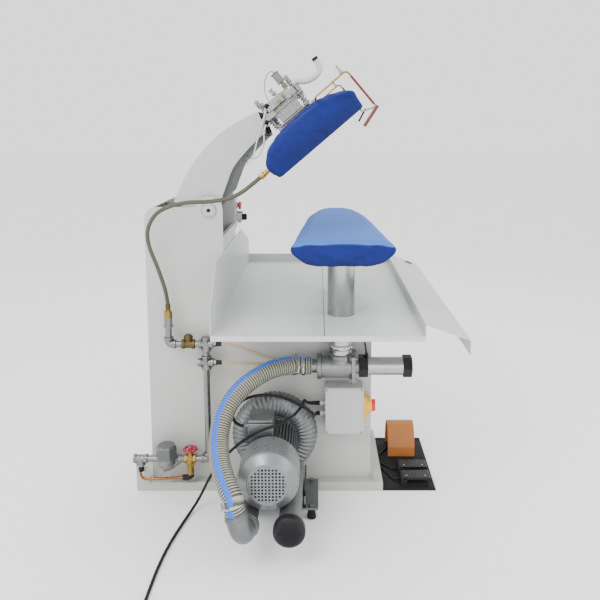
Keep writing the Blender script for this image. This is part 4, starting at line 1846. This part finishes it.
def stud_places():
    """Each stud's place, the flange's underside there and its top."""
    for u in (STUD_LEFT_U, STUD_RIGHT_U):
        deep = u < BRACKET_BLOCK_LEFT_U
        under = FLANGE_N - PLATE if deep else FLANGE_N
        top = FLANGE_N + PLATE * 3 if deep else FLANGE_N + PLATE
        for y in (STUD_NEAR_Y, STUD_FAR_Y):
            yield u, y, under, top


def make_studs():
    """The four studs on the plates, with the nuts that hold the flange."""
    studs = []
    for u, y, under, top in stud_places():
        low = stack_top() - GAP
        nut_foot = top + GAP
        profile = ((low, 0.0), (low, STUD_RADIUS), (nut_foot, STUD_RADIUS), (nut_foot, STUD_NUT_RADIUS),
                   (nut_foot + STUD_NUT_HEIGHT, STUD_NUT_RADIUS), (nut_foot + STUD_NUT_HEIGHT, STUD_RADIUS),
                   (STUD_TOP_N, STUD_RADIUS), (STUD_TOP_N, 0.0))
        studs.append(lathe(profile, (u, y, 0.0), (0, 0, 1), SMALL))
    return studs


def make_springs(head, steel):
    """The springs that hold the head off the flange, on the two studs of the near side."""
    for u, y, under, top in stud_places():
        if y == STUD_NEAR_Y:
            name = "head_spring_left" if u == STUD_LEFT_U else "head_spring_right"
            piece = tube_mesh(spring_points(u, y, stack_top() + GAP, under - GAP), SPRING_WIRE, 1)
            node(name, piece, steel, head)


def make_steam_valve():
    foot = BRACKET_TOP_N + GAP
    top = CAN_TOP_N
    profile = ((foot, 0.0), (foot, CAN_STEM_RADIUS * 1.4),
               (foot + CAN_RIM_WIDTH * 3, CAN_STEM_RADIUS * 1.4),
               (foot + CAN_RIM_WIDTH * 3, CAN_STEM_RADIUS), (CAN_FOOT_N, CAN_STEM_RADIUS),
               (CAN_FOOT_N, CAN_RIM_RADIUS),
               (CAN_FOOT_N + CAN_RIM_WIDTH, CAN_RIM_RADIUS), (CAN_FOOT_N + CAN_RIM_WIDTH, CAN_RADIUS),
               (top - CAN_RIM_WIDTH, CAN_RADIUS), (top - CAN_RIM_WIDTH, CAN_RIM_RADIUS),
               (top, CAN_RIM_RADIUS), (top, 0.0))
    u = min(CAN_U, BRACKET_RIGHT_U - CAN_STEM_RADIUS * 1.6)
    return lathe(profile, (u, CAN_Y, 0.0), (0, 0, 1), MEDIUM)


def inlet_left_u():
    return -HEAD_SPAN * 0.05 - INLET_LENGTH


def make_inlet():
    """The hexagonal union and the nipple that bring the steam into the back of the head."""
    left = inlet_left_u()
    pad = HEAD_MIDDLE_U - HEAD_SPAN * 0.5 * plan_width((INLET_Y - HEAD_NEAR_Y) / (HEAD_FAR_Y - HEAD_NEAR_Y))
    profile = ((left, 0.0), (left, INLET_HEX_RADIUS), (left + INLET_HEX_LENGTH, INLET_HEX_RADIUS),
               (left + INLET_HEX_LENGTH, INLET_NIPPLE_RADIUS), (pad - GAP * 2, INLET_NIPPLE_RADIUS),
               (pad - GAP * 2, 0.0))
    return lathe(profile, (0.0, INLET_Y, INLET_N), (1, 0, 0), COARSE)


def make_guard(head, brass):
    """The finger guard's bent rods on their hinge rod, with the two handles and the cross rod."""
    shift = Vector((GUARD_PIVOT_U, 0.0, GUARD_PIVOT_N))
    hinge = frame_empty("guard_hinge", shift, 0.0, head)
    radius = GUARD_ROD_RADIUS
    corner = GUARD_CORNER_U - GUARD_PIVOT_U
    low = GUARD_LOW_N - GUARD_PIVOT_N
    bars = [rod((0.0, GUARD_SIDE_NEAR_Y, 0.0), (0.0, GUARD_SIDE_FAR_Y, 0.0), radius, COARSE),
            rod((corner, GUARD_SIDE_NEAR_Y, low), (corner, GUARD_SIDE_FAR_Y, low), radius, SMALL)]
    for y in (GUARD_SIDE_NEAR_Y, GUARD_SIDE_FAR_Y):
        bend = radius * 4
        route = [Vector((-radius * 0.5, y, 0.0)), Vector((corner - bend, y, 0.0)),
                 Vector((corner - bend * 0.3, y, -bend * 0.3)),
                 Vector((corner, y, -bend)), Vector((corner, y, low - radius * 0.5))]
        bars.append(tube_mesh(route, radius))
        shift = 0.0 if y < 0 else HANDLE_FAR_SHIFT
        length = HANDLE_LENGTH if y < 0 else HANDLE_FAR_LENGTH
        start = Vector((corner + HANDLE_RADIUS + shift, y, low))
        bars.append(rod(start, start - Vector((length, 0.0, HANDLE_DROP)), HANDLE_RADIUS, SMALL))
    node("guard_frame", union(*bars), brass, hinge)


# Controls

def make_control_plate():
    """The flange beside the column with the button's collar and the regulator's body."""
    front = COLUMN_FRONT_X
    plate = box((front - SHEET, PANEL_FAR_Y - SHEET / 2, CONTROL_FOOT_Z),
                (front - GAP, CONTROL_FAR_Y, CONTROL_TOP_Z))
    hole = rod((front - SHEET * 2, BUTTON_Y, BUTTON_Z), (front + COLLAR_THICK * 2, BUTTON_Y, BUTTON_Z),
               bore(BUTTON_STEM_RADIUS, MEDIUM), MEDIUM)
    collar = rod((front - SHEET / 2, BUTTON_Y, BUTTON_Z), (front + COLLAR_THICK, BUTTON_Y, BUTTON_Z),
                 COLLAR_RADIUS, MEDIUM)
    regulator = rod((front - SHEET / 2, KNOB_Y, KNOB_Z), (front + REGULATOR_LENGTH, KNOB_Y, KNOB_Z),
                    REGULATOR_RADIUS, MEDIUM)
    return cut(union(plate, collar, regulator), hole)


def make_controls(red, black):
    front = COLUMN_FRONT_X
    travel = BUTTON_STEM - COLLAR_THICK
    profile = ((-SHEET, 0.0), (-SHEET, BUTTON_STEM_RADIUS), (travel + COLLAR_THICK, BUTTON_STEM_RADIUS),
               (travel + COLLAR_THICK, BUTTON_RADIUS),
               (travel + COLLAR_THICK + BUTTON_HEAD * 0.6, BUTTON_RADIUS),
               (travel + COLLAR_THICK + BUTTON_HEAD, BUTTON_RADIUS * 0.6),
               (travel + COLLAR_THICK + BUTTON_HEAD, 0.0))
    node("emergency_button", lathe(profile, (0.0, 0.0, 0.0), (1, 0, 0), MEDIUM), red, None,
         (front, BUTTON_Y, BUTTON_Z))
    node("regulator_knob", rod((0.0, 0.0, 0.0), (KNOB_LENGTH, 0.0, 0.0), KNOB_RADIUS, COARSE), black, None,
         (front + REGULATOR_LENGTH + GAP, KNOB_Y, KNOB_Z))
    make_rocker(red)


def make_rocker(red):
    """The rocker in its bezel on the sloping apron."""
    spot, rise = switch_place()
    base = frame_empty("rocker_frame", spot, rise)
    tip = ROCKER_HEIGHT - BEZEL_HEIGHT
    outline = ((-ROCKER_HALF_LENGTH, 0.0), (0.0, -BEZEL_HEIGHT * ROCKER_KEEL_SHARE),
               (ROCKER_HALF_LENGTH, 0.0),
               (ROCKER_HALF_LENGTH, tip), (0.0, tip * ROCKER_DIP_SHARE), (-ROCKER_HALF_LENGTH, tip))
    node("rocker_switch", prism(outline, -ROCKER_HALF_WIDTH, ROCKER_HALF_WIDTH), red, base,
         (0.0, 0.0, BEZEL_HEIGHT))


def main():
    clear_scene()
    paint = material("grey_white_paint", (0.68, 0.68, 0.64), 0.45)
    table_paint = material("table_paint", (0.70, 0.73, 0.69), 0.40)
    steel = material("bright_steel", (0.62, 0.62, 0.60), 0.30, 1.0)
    chrome = material("chrome", (0.80, 0.80, 0.80), 0.12, 1.0)
    cast = material("cast_aluminium", (0.40, 0.42, 0.43), 0.45, 0.8)
    silver = material("silver_paint", (0.60, 0.62, 0.62), 0.35, 0.6)
    brass = material("brass", (0.70, 0.50, 0.16), 0.30, 1.0)
    black = material("black_plastic", (0.02, 0.02, 0.02), 0.45)
    rubber = material("black_rubber", (0.03, 0.03, 0.03), 0.80)
    blue = material("blue_fabric", (0.03, 0.09, 0.42), 0.75)
    red = material("red_plastic", (0.55, 0.02, 0.03), 0.35)
    yellow = material("yellow_plastic", (0.85, 0.55, 0.02), 0.40)
    orange = material("orange_paint", (0.58, 0.22, 0.04), 0.50)
    clear = material("ribbed_hose", (0.55, 0.54, 0.44), 0.35)
    braid = material("steel_braid", (0.42, 0.40, 0.32), 0.40, 0.8)
    beige = material("beige_hose", (0.62, 0.54, 0.38), 0.50)

    make_base(paint)
    make_cabinet(paint)
    make_pivot(chrome)
    pivot = frame_empty("arm_pivot", (PIVOT_X, 0.0, PIVOT_Z))
    make_arm(pivot, paint, steel)
    make_cylinder(silver, black)
    make_table(table_paint)
    make_buck(blue, steel)
    make_duct(chrome)
    make_tee(steel)
    make_valve(steel, black, chrome)
    make_hose(clear, chrome)
    make_blower(cast, silver, black)
    make_electrics(paint, yellow, red, black)
    make_steam(steel, brass, red)
    make_hoses(braid, beige)
    make_cables(black, rubber)
    make_pedals(rubber, orange, black)
    make_head(pivot, blue, steel, silver, brass)
    make_controls(red, black)


main()
